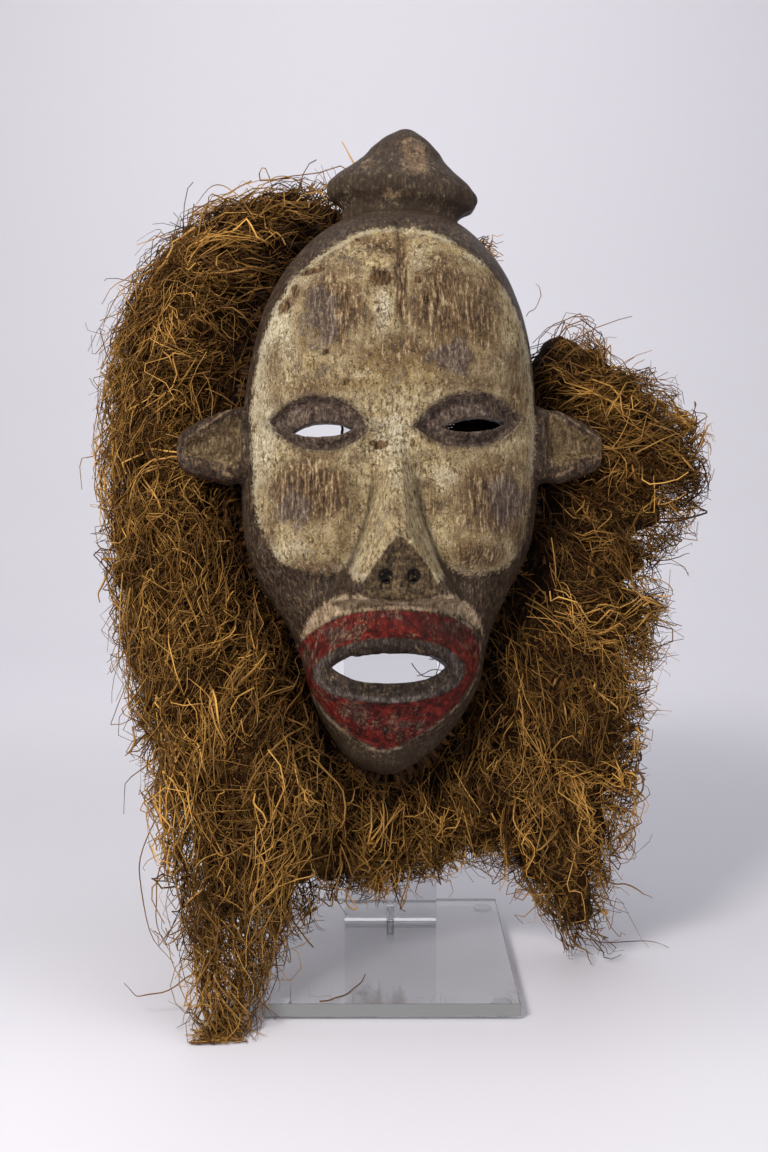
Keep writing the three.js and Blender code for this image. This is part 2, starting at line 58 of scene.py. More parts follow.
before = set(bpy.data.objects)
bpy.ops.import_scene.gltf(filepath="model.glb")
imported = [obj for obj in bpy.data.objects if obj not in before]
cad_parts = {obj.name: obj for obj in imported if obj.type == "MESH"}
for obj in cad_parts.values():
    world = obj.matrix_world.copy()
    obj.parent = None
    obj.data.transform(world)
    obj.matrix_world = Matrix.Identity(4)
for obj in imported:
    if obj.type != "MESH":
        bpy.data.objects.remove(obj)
CAD_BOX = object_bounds()
PLATE_LOW, PLATE_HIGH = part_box("base_plate")
# The middle of the base plate: the mask's and the raffia's own sizes are measured from there, in mm
STAND = np.array([(PLATE_LOW.x + PLATE_HIGH.x) * 500, (PLATE_LOW.y + PLATE_HIGH.y) * 500, 0.0])

# The mask's own frame: u to the right, w up, n forward from the flat back of the rim
LEAN = math.radians(12)
TURN = Matrix.Rotation(math.radians(4), 3, "Z")
HANG = np.array([0.9, 30.6, 336.0]) + STAND
ACROSS = np.array(TURN @ Vector((1, 0, 0)))
UPWARD = np.array(TURN @ Vector((0, math.sin(LEAN), math.cos(LEAN))))
OUTWARD = np.array(TURN @ Vector((0, -math.cos(LEAN), math.sin(LEAN))))

OUTLINE = (
    (-4, -207), (-28, -200), (-43, -183), (-56, -157), (-63, -131), (-72, -108), (-88, -84),
    (-99, -58), (-103, -24), (-103, 10), (-101, 44), (-95, 79), (-86, 110), (-69, 139), (-45, 161),
    (3, 175), (50, 163), (77, 133), (89, 105), (95, 79), (98, 44), (100, 10), (98, -25),
    (91, -59), (76, -88), (63, -116), (55, -148), (42, -171), (24, -191),
)
FORWARD = (
    (-207, 62), (-150, 72), (-100, 68), (-55, 66), (-10, 68), (30, 78), (70, 90), (110, 97), (175, 92),
)
HEAD_MIDDLE, HEAD_HALF, END_ROUND, SIDE_ROUND = -16.0, 191.5, 3.2, 2.5

# Eyes: middle, half length, half height and tilt, and the depth and lid of the almond hollow
EYES = ((-51.0, 17.0, 34.0, 17.0, -8.0), (45.5, 19.0, 38.0, 17.0, 7.0))
EYE_DEPTH, EYE_LID = 6.5, 4.5
NOSE_U, BRIDGE, NOSE_TIP, NOSE_BASE = -3.5, 6.0, -59.0, -97.0
NOSE_RISE, NOSE_RIDGE, TIP_HEIGHT, BASE_SLOPE = 0.5, 4.5, 31.0, 0.6
NOSE_WIDTH = ((-97, 42), (-90, 40), (-76, 32), (-59, 24.5), (-34, 17), (-4, 14), (8, 9))
NOSTRILS, NOSTRIL_W = (-11.0, 6.0), -82.5
MOUTH_U, MOUTH_W = -8.5, -141
KNOB_U, KNOB_W, KNOB_N, KNOB_TILT, KNOB_FLAT, KNOB_SIDES = 6.0, 166.0, 28.0, 5.0, 0.52, 18
# Ears: where they leave the head, their reach and how much taller they are drawn, and then their
# middle, half height and front, each at the head and at the tip
EAR_ROOT, EAR_REACH, EAR_GROW = 101, 44, 0.14
EAR_MIDDLE, EAR_HALF, EAR_FRONT = (14, 9.5), (29, 12.5), (38, 27)
# Openings whose corners are drawn to points: middle, half length, half height, tilt and how strongly
OPENINGS = ((-49, 14, 19.5, 4.5, 0, 0.75), (49, 17.5, 22, 4.5, 8, 0.75), (-8, -138, 37, 11, -1, 0.55))

# Where the paint lies, as outlines in u and w
CREAM_PANEL = (
    (1, 147), (-22, 144), (-46, 131), (-70, 112), (-82, 92), (-91, 67), (-96, 36), (-95, 0),
    (-94, -33), (-87, -55), (-74, -73), (-52, -79), (-38, -77), (-28, -68), (-18, -62), (-3, -58),
    (11, -62), (22, -68), (32, -77), (50, -80), (69, -76), (83, -58), (90, -33), (93, 2),
    (94, 39), (89, 74), (80, 95), (68, 114), (46, 131), (24, 143),
)
NOSE_FLANKS = (
    (-14, 0), (-20, -40), (-29, -68), (-34, -78), (-29, -86), (-20, -84), (-3, -70), (13, -84),
    (23, -87), (28, -78), (22, -67), (14, -40), (8, 0),
)
NOSE_UNDER = (
    (-4, -59), (-12, -67), (-19, -76), (-25, -86), (-27, -94), (-12, -97), (8, -97), (22, -94),
    (21, -86), (14, -75), (5, -65),
)
LIP_BAND = (
    (-46, -94), (-22, -94), (-4, -95), (18, -94), (38, -94), (52, -105), (56, -118), (48, -111),
    (34, -105), (10, -104), (-7, -103), (-28, -104), (-48, -108), (-64, -119), (-62, -110),
)
RED_MOUTH = (
    (-7, -102), (-32, -104), (-52, -111), (-66, -123), (-64, -138), (-55, -156), (-42, -172),
    (-27, -184), (-12, -190), (6, -184), (24, -172), (38, -160), (48, -145), (53, -130),
    (49, -117), (36, -108), (14, -103),
)
# Patches where the paint is rubbed through to the wood: middle, half sizes and how strongly
WORN = (
    (-43, 89, 25, 34, 1.0), (28, 92, 25, 33, 1.05), (50, 84, 18, 30, 0.9), (33, 58, 22, 16, 1.0),
    (-2, 60, 30, 14, 0.6), (-58, -26, 28, 23, 1.3), (-14, 133, 17, 7, 0.8), (62, -30, 30, 28, 1.15),
    (-80, 50, 10, 28, 0.6), (78, 40, 11, 30, 0.7), (-40, -60, 14, 10, 0.5), (48, -68, 26, 11, 0.9),
    (-4, -42, 4, 18, 0.6),
    (-13, 107, 8, 7, 1.3), (1, 108, 4.5, 36, 1.4), (26, 122, 10, 8, 0.9), (-60, -76, 26, 8, 0.8),
    (60, 112, 16, 10, 0.7), (-72, 95, 4, 4.5, 1.8), (-66, 104, 3, 5, 1.5), (-55, 116, 9, 3, 1.4),
    (-52, 40, 30, 6, 0.6), (44, 42, 34, 6, 0.6), (-36, 118, 14, 6, 0.5),
    (20, -30, 8, 20, 0.6), (-84, -50, 8, 14, 0.7), (80, -52, 8, 16, 0.9),
)
# In the same way: where the rubbed patches are greyish purple, where the cream coat is stained ochre,
# cracked right through, or pale, partly as a paler coat and partly as painted highlight on the face's
# edges and along the nose, and where the red coat is grey with dust
VIOLET = (
    (-52, 80, 15, 26, 1.0), (34, 56, 18, 13, 1.0), (-68, -38, 14, 16, 0.9), (70, -30, 20, 24, 0.8),
    (-30, 122, 12, 8, 0.5), (-40, -100, 20, 12, 0.8), (30, -100, 20, 12, 0.8),
)
OCHRE = (
    (-33, 98, 9, 20, 0.7), (28, 100, 18, 22, 0.9), (2, 52, 38, 18, 1.0), (-50, -62, 22, 12, 0.6),
    (-6, 136, 40, 8, 0.9), (40, 130, 20, 8, 0.9), (-28, 40, 30, 5, 0.9),
    (44, -62, 20, 14, 0.7), (-50, -18, 8, 20, 0.8), (62, 84, 16, 30, 0.5), (-4, -30, 8, 26, 0.4),
    (84, 10, 10, 40, 0.5), (50, -8, 30, 6, 0.4),
)
CRACKED = (
    (-14, 4, 15, 10, 1.0), (-24, 128, 20, 10, 0.7), (13, 116, 7, 22, 0.6), (-74, -8, 14, 7, 0.5),
    (-12, 84, 8, 14, 0.6), (0, -103, 34, 5, 0.9),
)
PALE_AND_HIGHLIGHT = (
    (-56, 112, 18, 14, 1.0), (-12, 86, 7, 22, 1.0), (-79, 84, 15, 36, 1.15), (-86, 20, 9, 60, 1.1),
    (-4, 8, 14, 18, 0.9), (28, -18, 15, 12, 1.0), (14, 118, 8, 20, 0.8), (-4, -26, 5, 30, 0.7),
    (-70, -62, 18, 10, 0.6), (86, 60, 5, 40, 0.5), (-30, -40, 5, 24, 0.5), (44, 126, 18, 8, 0.6),
)
DUSTY = (
    (-40, -118, 16, 8, 0.9), (-8, -106, 26, 4, 0.8), (30, -112, 20, 5, 0.8), (-58, -130, 8, 12, 0.8),
    (-30, -168, 14, 12, 0.8), (0, -176, 20, 8, 0.7), (-46, -152, 8, 12, 0.6), (46, -120, 8, 8, 0.5),
)
# Chips in the wood: middle, half sizes and depth
CHIPS = (
    (-12, 107, 7.5, 6.5, 1.1), (-13, 3, 7, 3.2, 0.9), (-72, 95, 3, 3.6, 1.1), (-66, 104, 2.5, 4.5, 0.9),
    (-55, 116, 8, 2.2, 0.8), (-5, 126, 4, 2.5, 0.6), (-25, 136, 3, 1.6, 0.6), (-47, 60, 2.4, 2.4, 0.6),
    (-34, 41, 3, 2, 0.6), (12, 106, 2, 4, 0.6), (16, 92, 2, 3, 0.5),
)

# Raffia: each lock leaves the rim at a fraction round the outline, passes a middle point and ends
# at a tip, with its half width at the root, the middle and the tip
LOCKS = (
    (0.47, (-71, 76, 517), (-125, 64, 491), (11, 22, 17)),
    (0.435, (-118, 66, 484), (-163, 55, 447), (14, 31, 20)),
    (0.39, (-142, 61, 444), (-176, 48, 388), (15, 35, 20)),
    (0.35, (-152, 54, 390), (-175, 36, 329), (15, 36, 20)),
    (0.31, (-156, 44, 339), (-162, 10, 269), (15, 37, 20)),
    (0.27, (-147, 26, 292), (-153, -18, 212), (15, 37, 22)),
    (0.23, (-132, 8, 242), (-135, -45, 161), (15, 38, 22)),
    (0.2, (-116, -6, 203), (-122, -70, 108), (15, 39, 20)),
    (0.16, (-95, -40, 136), (-102, -118, 5), (16, 43, 8)),
    (0.12, (-60, -20, 128), (-65, -55, 61), (15, 31, 12)),
    (0.06, (-28, 0, 102), (-21, -4, 64), (14, 27, 15)),
    (-0.02, (10, 5, 104), (12, 8, 67), (14, 23, 12)),
    (-0.07, (39, 5, 111), (42, 5, 83), (14, 22, 11)),
    (-0.1, (69, 5, 122), (79, 0, 84), (14, 26, 12)),
    (-0.125, (105, 0, 102), (136, 2, 20), (15, 33, 14)),
    (-0.16, (126, 6, 160), (148, 5, 122), (14, 31, 19)),
    (-0.2, (132, 18, 220), (159, 16, 186), (14, 31, 18)),
    (-0.235, (144, 36, 284), (178, 32, 267), (13, 27, 15)),
    (-0.27, (160, 48, 343), (204, 44, 341), (13, 33, 16)),
    (-0.3, (142, 58, 390), (178, 52, 378), (12, 27, 16)),
    (-0.32, (116, 62, 421), (132, 60, 414), (10, 17, 12)),
)
# The pieces of the ruff: the first and the last lock of each, and its share of the strands
RUFF_PARTS = (
    ("raffia_upper_left", 0, 3, 1.0), ("raffia_middle_left", 4, 6, 1.0), ("raffia_long_hank", 7, 9, 1.05),
    ("raffia_chin_right", 10, 15, 1.15), ("raffia_right", 16, 20, 0.8),
)
# Single strands that stand out from the mass, in mm from the middle of the plate: half width,
# tone, sway, and the places that each passes
LOOSE = (
    (0.8, 0.95, 0.2, ((-14, 62, 528), (-19, 62, 537), (-24, 62, 545.5), (-34, 62, 562.5))),
    (0.35, 0.4, 1.2, ((96, 58, 442), (103, 60, 452), (105, 61, 460), (103, 62, 467))),
    (0.7, 0.6, 1.2, ((-165, 22, 316), (-179, 20, 313), (-188, 12, 316), (-196, 6, 325), (-198, 4, 321),
                     (-190, 8, 311), (-176, 14, 303))),
    (0.9, 0.6, 1.2, ((-168, 20, 282), (-182, 20, 275), (-192, 12, 267), (-199, 6, 256), (-195, 4, 247))),
    (0.5, 0.4, 1.2, ((-130, -30, 132), (-147, -40, 123), (-157, -50, 106), (-162, -52, 87), (-163, -54, 61),
                     (-155, -60, 37), (-138, -66, 22))),
    (0.5, 0.5, 1.2, ((-128, -44, 104), (-142, -50, 93), (-151, -58, 75), (-153, -62, 50), (-138, -70, 30))),
    (0.5, 0.3, 1.2, ((-112, -84, 30), (-125, -90, 25), (-140, -96, 17), (-155, -98, 13), (-166, -98, 22))),
    (0.5, 0.45, 1.2, ((188, 38, 344), (207, 40, 352), (214, 41, 362), (217, 42, 357), (218, 44, 340))),
    (0.6, 0.35, 1.2, ((128, 0, 62), (142, 0, 57), (159, 2, 53), (171, 4, 49), (180, 5, 42))),
    (0.7, 0.5, 1.2, ((140, 10, 142), (156, 10, 138), (168, 8, 132), (174, 6, 122), (167, 6, 111),
                     (161, 6, 119))),
    (0.5, 0.5, 1.2, ((132, 8, 116), (144, 8, 111), (156, 6, 103), (161, 4, 91))),
    (0.6, 0.6, 1.2, ((162, 12, 214), (183, 10, 207), (176, 10, 219), (163, 12, 224))),
    (0.4, 0.5, 1.2, ((-92, 42, 508), (-103, 40, 522), (-112, 38, 530), (-126, 36, 526), (-138, 34, 508))),
    (0.4, 0.5, 1.2, ((-44, 42, 520), (-58, 40, 531), (-68, 38, 536), (-83, 36, 532), (-100, 36, 518))),
    (0.4, 0.2, 1.2, ((126, 34, 4), (149, 36, 2), (164, 28, 2), (181, 32, 2), (195, 20, 2))),
    (0.55, 0.2, 0.4, ((-44, -98, 11.2), (-32, -92, 11.2), (-22, -76, 11.2), (-16, -53, 11.2))),
)
# Fibres caught in the mouth's corner and in the left eye, in the mask's own frame
CAUGHT = (
    (0.35, ((6, -136, 60), (13, -145, 60), (22, -144, 60), (31, -136, 60))),
    (0.3, ((22, -127, 60), (24, -137, 60), (20, -148, 60))),
    (0.3, ((9, -144, 59), (19, -140, 59), (31, -141, 59))),
    (1.1, ((-35.5, 10, 34), (-35.0, 18, 34), (-35.5, 27, 34))),
)
# Strands in a clump, points along a strand and along a stray one, fibres behind the right eye, strands
# of the tuft at the right temple and short ends along the band
TOGETHER, STRAND_POINTS, STRAY_POINTS, EYE_FIBRES, TUFT_STRANDS, SHORT_ENDS = 12, 11, 15, 220, 60, 1100
# One strand strays for each of this many in clumps
STRAY_SHARE = 12
# The mass inside the ruff: its share of the locks' width, and how fine it is, in m
CORE_WIDTH, CORE_GRAIN = 0.62, 0.006
# Where strands stay out, in mm from the middle of the plate: the upright's half width and front, the
# plate's half sizes, the heights over the plate and over the floor, and how far past the solids' box
UPRIGHT_CLEAR, PLATE_CLEAR, OVER_PLATE, OVER_FLOOR = (35.5, 47), (82.5, 102), 12.0, 1.5
PAST_BOX = np.array([19.0, 13.5, 12.0])
# The band's knots, and how far it lies behind the rim, outside it and tucked in under the chin
KNOTS, BAND_BEHIND, BAND_OUTSIDE, BAND_TUCK = 105, 7.0, 1.5, 14.0

# Each paint's tones from dark to pale: where a tone comes in the pattern, and its colour
TONES = {
    "bare": ((0.4, 0.01, 0.006, 0.004), (0.48, 0.034, 0.02, 0.013), (0.54, 0.076, 0.047, 0.028),
             (0.61, 0.21, 0.14, 0.082)),
    "bare_grey": ((0.38, 0.018, 0.012, 0.009), (0.6, 0.165, 0.125, 0.098)),
    "rubbed": ((0.415, 0.02, 0.011, 0.007), (0.475, 0.09, 0.05, 0.026), (0.53, 0.21, 0.125, 0.058),
               (0.59, 0.56, 0.43, 0.25)),
    "rubbed_grey": ((0.4, 0.026, 0.017, 0.014), (0.5, 0.1, 0.07, 0.06), (0.6, 0.32, 0.25, 0.2)),
    "cream": ((0.415, 0.05, 0.031, 0.015), (0.462, 0.23, 0.155, 0.075), (0.5, 0.41, 0.305, 0.155),
              (0.54, 0.61, 0.495, 0.285), (0.585, 0.9, 0.82, 0.61)),
    "cream_grey": ((0.42, 0.09, 0.078, 0.075), (0.56, 0.43, 0.4, 0.385)),
    "ochre": ((0.41, 0.055, 0.03, 0.012), (0.49, 0.28, 0.17, 0.052), (0.58, 0.62, 0.46, 0.185)),
    "bright": ((0.41, 0.13, 0.085, 0.045), (0.47, 0.48, 0.38, 0.22), (0.55, 0.88, 0.8, 0.61)),
    "chip": ((0.42, 0.014, 0.008, 0.005), (0.58, 0.19, 0.105, 0.045)),
    "band": ((0.42, 0.085, 0.05, 0.032), (0.49, 0.345, 0.232, 0.138), (0.58, 0.76, 0.625, 0.41)),
    "red": ((0.42, 0.016, 0.005, 0.004), (0.48, 0.066, 0.008, 0.006), (0.53, 0.15, 0.012, 0.008),
            (0.6, 0.26, 0.034, 0.022)),
    "dust": ((0.42, 0.018, 0.01, 0.007), (0.5, 0.064, 0.036, 0.026), (0.58, 0.25, 0.165, 0.11)),
    "red_edge": ((0.42, 0.12, 0.08, 0.05), (0.56, 0.43, 0.33, 0.21)),
    "lip": ((0.42, 0.008, 0.005, 0.004), (0.5, 0.026, 0.017, 0.012), (0.58, 0.085, 0.058, 0.042)),
    "lip_crest": ((0.42, 0.04, 0.028, 0.023), (0.5, 0.11, 0.082, 0.07), (0.58, 0.36, 0.305, 0.265)),
    "lid": ((0.41, 0.018, 0.011, 0.009), (0.48, 0.074, 0.049, 0.039), (0.53, 0.16, 0.112, 0.083),
            (0.6, 0.42, 0.33, 0.23)),
    "under_nose": ((0.41, 0.014, 0.009, 0.006), (0.49, 0.07, 0.046, 0.025), (0.57, 0.25, 0.165, 0.078)),
    "ear": ((0.42, 0.034, 0.02, 0.01), (0.5, 0.125, 0.08, 0.038), (0.58, 0.36, 0.262, 0.138)),
    "rub": ((0.42, 0.09, 0.052, 0.03), (0.5, 0.21, 0.13, 0.072), (0.6, 0.45, 0.33, 0.2)),
    "inner": ((0.3, 0.018, 0.011, 0.007), (0.7, 0.085, 0.052, 0.031)),
}

# The camera's place from the middle of the plate, in mm
CAMERA_PLACE = (-4.6, -933.7, 355.8)
# The paper under the object, in m: half width, half length, how far it reaches in front, how much of
# it lies flat and how much bends up, the bend's radius, and how steeply the rest rises
PAPER_WIDTH, PAPER_LENGTH, PAPER_FRONT, PAPER_FLAT, PAPER_CURVE, PAPER_BEND = 5, 3.2, 2.4, 3.6, 1.4, 0.9
PAPER_RISE = 3
# Place, size, power, colour and aim of each light, from the middle of the object
LIGHTS = (
    ("key_light", (-0.85, -1.35, 1.15), 0.5, 34, (1.0, 0.97, 0.93), (0, 0, 0)),
    ("fill_light", (1.6, -1.0, 0.8), 1.2, 5, (0.93, 0.95, 1.0), (0, 0, 0)),
    ("top_light", (-0.1, 0.25, 1.9), 1.2, 11, (1.0, 1.0, 1.0), (0, 0, 0)),
    ("wall_light", (0.0, 0.7, 1.5), 1.4, 6.5, (1.0, 1.0, 1.0), (0, 2.1, 0.5)),
)
SKY_COLOUR, SKY_STRENGTH = (0.82, 0.82, 0.88, 1), 0.36


# Numbers


def smooth(low, high, x):
    """From 0 to 1 as x goes from low to high."""
    t = np.clip((x - low) / (high - low), 0, 1)
    return t * t * (3 - 2 * t)


def window(start, full, fade, end, x):
    """From 0 to 1 and back to 0 as x passes four places."""
    return smooth(start, full, x) * (1 - smooth(fade, end, x))


def bell(x, middle, size):
    """1 in the middle, and less and less on both sides."""
    return np.exp(-((x - middle) / size) ** 2)


def spot(u, w, middle_u, middle_w, size_u, size_w):
    """A soft patch: 1 in its middle, and less and less all round."""
    return np.exp(-((u - middle_u) / size_u) ** 2 - ((w - middle_w) / size_w) ** 2)


def turned(x, y, degrees):
    """The same place measured along axes that are turned by an angle."""
    c, s = math.cos(math.radians(degrees)), math.sin(math.radians(degrees))
    return x * c + y * s, -x * s + y * c


def through_table(rows, x):
    """A smooth curve through rows of place and value, with places that rise."""
    places, values = np.array(rows, float).T
    last = len(rows) - 1
    i = np.clip(np.searchsorted(places, x, side="left") - 1, 0, last - 1)
    run = places[i + 1] - places[i]
    t = np.clip((x - places[i]) / run, 0, 1)
    before, after = np.maximum(i - 1, 0), np.minimum(i + 2, last)
    slope = (values[i + 1] - values[before]) / (places[i + 1] - places[before]) * run
    next_slope = (values[after] - values[i]) / (places[after] - places[i]) * run
    rest = (1 - t) ** 2
    return (values[i] * (1 + 2 * t) * rest + values[i + 1] * (3 - 2 * t) * t * t
            + slope * t * rest - next_slope * t * t * (1 - t))


def closed_curve(points, steps):
    """Points close together along the smooth closed curve through a few points."""
    p = np.array(points, float)
    ring = []
    for k in range(len(p)):
        p0, p1, p2, p3 = (p[(k + j) % len(p)] for j in (-1, 0, 1, 2))
        d0, d1, d2 = (max(np.hypot(*(b - a)) ** 0.5, 1e-4) for a, b in ((p0, p1), (p1, p2), (p2, p3)))
        m1 = ((p1 - p0) / d0 - (p2 - p0) / (d0 + d1) + (p2 - p1) / d1) * d1
        m2 = ((p2 - p1) / d1 - (p3 - p1) / (d1 + d2) + (p3 - p2) / d2) * d1
        t = (np.arange(steps) / steps)[:, None]
        ring.append(p1 + m1 * t + (3 * (p2 - p1) - 2 * m1 - m2) * t * t
                    + (2 * (p1 - p2) + m1 + m2) * t ** 3)
    return np.concatenate(ring)


def inside_by(outline, u, w):
    """How far inside a closed outline each place is, in mm, and below 0 outside it."""
    ends = np.roll(outline, -1, axis=0)
    near = np.full(u.shape, 1e9)
    crossings = np.zeros(u.shape, int)
    for (au, aw), (bu, bw) in zip(outline, ends):
        du, dw = bu - au, bw - aw
        t = np.clip(((u - au) * du + (w - aw) * dw) / (du * du + dw * dw + 1e-12), 0, 1)
        near = np.minimum(near, (u - au - t * du) ** 2 + (w - aw - t * dw) ** 2)
        if abs(dw) > 1e-9:
            crossings += ((aw > w) != (bw > w)) & (u < au + (w - aw) * du / dw)
    return np.where(crossings % 2 == 1, 1, -1) * np.sqrt(near)


def ripple(u, w, size, seed):
    """Gentle unevenness, as a hand tool leaves, between about -1 and 1."""
    rng = np.random.default_rng(seed)
    total = np.zeros(np.shape(u))
    for _ in range(7):
        angle, phase, scale = rng.uniform((0, 0, 0.7), (2 * math.pi, 2 * math.pi, 1.5))
        total += np.sin((u * math.cos(angle) + w * math.sin(angle)) * 2 * math.pi / (size * scale) + phase)
    return total / 4


# The carved face, in the mask's own frame

RIM = closed_curve(OUTLINE, 60)
RIM_LENGTH = np.concatenate([[0], np.cumsum(np.hypot(*(np.roll(RIM, -1, axis=0) - RIM).T))])
RIM_SHARE = RIM_LENGTH / RIM_LENGTH[-1]
RIM_CLOSED = np.vstack([RIM, RIM[:1]])


def rim_point(fraction):
    """A point of the outline, a fraction of the way round it from the chin."""
    f = np.mod(fraction, 1.0)
    return np.stack([np.interp(f, RIM_SHARE, RIM_CLOSED[:, k]) for k in (0, 1)], axis=-1)


def rim_frame(fraction):
    """Points of the outline, with the directions along it and out of it."""
    along = rim_point(fraction + 0.001) - rim_point(fraction - 0.001)
    along /= np.linalg.norm(along, axis=1, keepdims=True)
    return rim_point(fraction), along, np.stack([-along[:, 1], along[:, 0]], axis=1)


LEVEL = np.linspace(0, 1, 1501)
LEFT_RIM, RIGHT_RIM = rim_point(LEVEL / 2), rim_point(1 - LEVEL / 2 - 1e-9)
LEVEL_MIDDLE, RIM_TO_RIM = (LEFT_RIM + RIGHT_RIM) / 2, RIGHT_RIM - LEFT_RIM
LEVEL_HALF = np.maximum(np.hypot(*RIM_TO_RIM.T) / 2, 0.5)
LEVEL_SLOPE = RIM_TO_RIM[:, 1] / np.maximum(RIM_TO_RIM[:, 0], 1)


def across_face(u, w):
    """Where a place lies between the left rim, -1, and the right rim, 1, and its level's height."""
    level = np.interp(w, LEVEL_MIDDLE[:, 1], LEVEL)
    for _ in range(3):
        middle = np.interp(level, LEVEL, LEVEL_MIDDLE[:, 0])
        slope = np.interp(level, LEVEL, LEVEL_SLOPE)
        level = np.interp(w - slope * (u - middle), LEVEL_MIDDLE[:, 1], LEVEL)
    middle = np.interp(level, LEVEL, LEVEL_MIDDLE[:, 0])
    half = np.interp(level, LEVEL, LEVEL_HALF)
    slope = np.interp(level, LEVEL, LEVEL_SLOPE)
    return (u - middle) * np.sqrt(1 + slope ** 2) / half, np.interp(level, LEVEL, LEVEL_MIDDLE[:, 1])


def mouth_relief(u, w):
    """The swelling round the mouth, with the ring of the lips."""
    broad = ((u + 8) / 56) ** 2 + ((w - MOUTH_W) / 44) ** 2
    ring = np.hypot((u - MOUTH_U) / 44, (w - MOUTH_W) / 18)
    crest = np.exp(-(((ring - 1) * 18) ** 2) / np.where(ring > 1, 34, 60))
    return 8 * np.maximum(0, 1 - broad) ** 0.7 + 7 * crest - np.where(ring < 1, 5 * (1 - ring), 0)


def cheek_relief(u, w):
    """The round cheeks, and the fall below them."""
    out = np.abs(u + 3)
    below = window(-150, -100, -83, -65, w) * smooth(18, 44, out)
    return 4 * spot(out, w, 54, -40, 36, 34) - 5 * below


def forehead_relief(u, w):
    """The brow, and the groove up the middle of the forehead."""
    groove = 2.4 * window(68, 80, 148, 158, w) * (1 - smooth(2.6, 6, np.abs(u - 0.03 * w)))
    return 4 * spot(np.abs(u + 2), w, 48, 52, 34, 17) - groove


def fine_relief(u, w):
    """The valleys beside the nose, the pads low on the cheeks and the creases under the eyes."""
    out = np.abs(u - NOSE_U)
    beside = out - through_table(NOSE_WIDTH, w) - 3
    valley = bell(beside, 0, 8) * smooth(-94, -78, w) * (1 - smooth(-14, 3, w))
    crease = bell(w, -8, 4) * smooth(16, 26, out) * (1 - smooth(76, 88, out))
    return 2.6 * spot(out, w, 58, -60, 19, 15) - 4.2 * valley - 2.0 * crease


def head_height(u, w):
    """How far forward the head stands, without its nose and eyes."""
    off, level = across_face(u, w)
    fade = (1 - np.minimum(np.abs(off), 0.9995) ** SIDE_ROUND) ** (1 / SIDE_ROUND)
    to_end = np.minimum(np.abs(level - HEAD_MIDDLE) / HEAD_HALF, 0.9995)
    depth = through_table(FORWARD, level) * (1 - to_end ** END_ROUND) ** (1 / END_ROUND)
    carving = mouth_relief(u, w) + cheek_relief(u, w) + forehead_relief(u, w) + fine_relief(u, w)
    return depth * fade + carving * smooth(0.1, 0.5, fade)


def almond_size(eye, u, w):
    """The size of the almond through each place: 1 on the eye's edge and smaller inside it."""
    middle_u, middle_w, length, height, tilt = eye
    along, across = turned(u - middle_u, w - middle_w, tilt)
    along, across = np.abs(along) / length, np.abs(across) / height
    low, high = np.full(u.shape, 1e-3), np.full(u.shape, 12.0)
    for _ in range(22):
        size = (low + high) / 2
        outside = across / size + (along / size) ** 2.4 > 1
        low, high = np.where(outside, size, low), np.where(outside, high, size)
    return (low + high) / 2


def eye_hollow(u, w):
    """The almond hollows, with the lids that bulge in them, as a change of height."""
    change = np.zeros(u.shape)
    for eye in EYES:
        size = almond_size(eye, u, w)
        wall = -EYE_DEPTH * (1 - smooth(0.84, 1.0, size))
        lid = EYE_LID * (1 - smooth(0.42, 0.84, size)) + 0.8 * (1 - smooth(0, 0.5, size))
        change += wall + lid * (size < 0.9) + 0.7 * bell(size, 1.04, 0.05)
    return change


def nose_height(u, w):
    """How far forward the nose stands, and far behind the head where there is no nose."""
    half = through_table(NOSE_WIDTH, w)
    ridge = 2 + NOSE_RISE * (BRIDGE - w)
    height = np.minimum(ridge, TIP_HEIGHT + BASE_SLOPE * (w - NOSE_TIP))
    flat = NOSE_RIDGE + (half - NOSE_RIDGE) * (1 - height / np.maximum(ridge, 0.1))
    top = head_height(np.full(u.shape, NOSE_U), w) + height
    reach = np.abs(u - NOSE_U)
    side = head_height(NOSE_U + np.sign(u - NOSE_U) * half, w) - 2.5
    shoulder = 1.2 * smooth(0.6, 1.05, reach / flat)
    down = np.clip((reach - flat) / np.maximum(1.04 * half - flat, 0.5), 0, 1.4)
    flank = top - 1.2 + (side - top + 1.2) * down
    nose = np.where(reach < flat, top - shoulder, flank)
    covers = (w < BRIDGE) & (w > NOSE_BASE - 2) & (reach < 1.25 * half)
    end = smooth(NOSE_BASE - 0.8, NOSE_BASE + 0.6, w)
    return np.where(covers, nose * end + (1 - end) * (side - 4), -200)


def nostrils(u, w):
    """From 0 to 1 in the two round nostrils."""
    away = [np.hypot((u - middle) / 4.4, (w - NOSTRIL_W) / 4.4) for middle in NOSTRILS]
    return np.exp(-np.min(away, axis=0) ** 4)


def tool_marks(u, w):
    """Chips, cracks and the gentle facets of the knife."""
    marks = 0.32 * ripple(u, w, 22, 3) + 0.14 * ripple(u, 0.5 * w, 8, 4)
    for cu, cw, ru, rw, depth in CHIPS:
        off = np.hypot((u - cu) / ru, (w - cw) / rw) + 0.18 * ripple(u, w, 5, 5)
        marks -= depth * (1 - smooth(0.75, 1.0, off))
    crack = np.abs(u + 14 - 0.06 * (w - 60) + 1.5 * ripple(u, w, 30, 6))
    marks -= 0.7 * bell(crack, 0, 0.5) * smooth(28, 40, w) * (1 - smooth(70, 84, w))
    return marks


def face_height(u, w):
    """How far forward the finished front stands at each place."""
    head = head_height(u, w) + eye_hollow(u, w)
    nose = nose_height(u, w)
    blend = 1.6
    joined = np.maximum(head, nose)
    gap = np.clip(1 - np.abs(head - nose) / blend, 0, 1)
    return joined + blend * gap * gap / 4 + tool_marks(u, w) - 3.0 * nostrils(u, w)


def to_mask(points):
    """Places in the mask's own frame, in mm, of points in metres."""
    away = points * 1000 - HANG
    return away @ ACROSS, away @ UPWARD, away @ OUTWARD


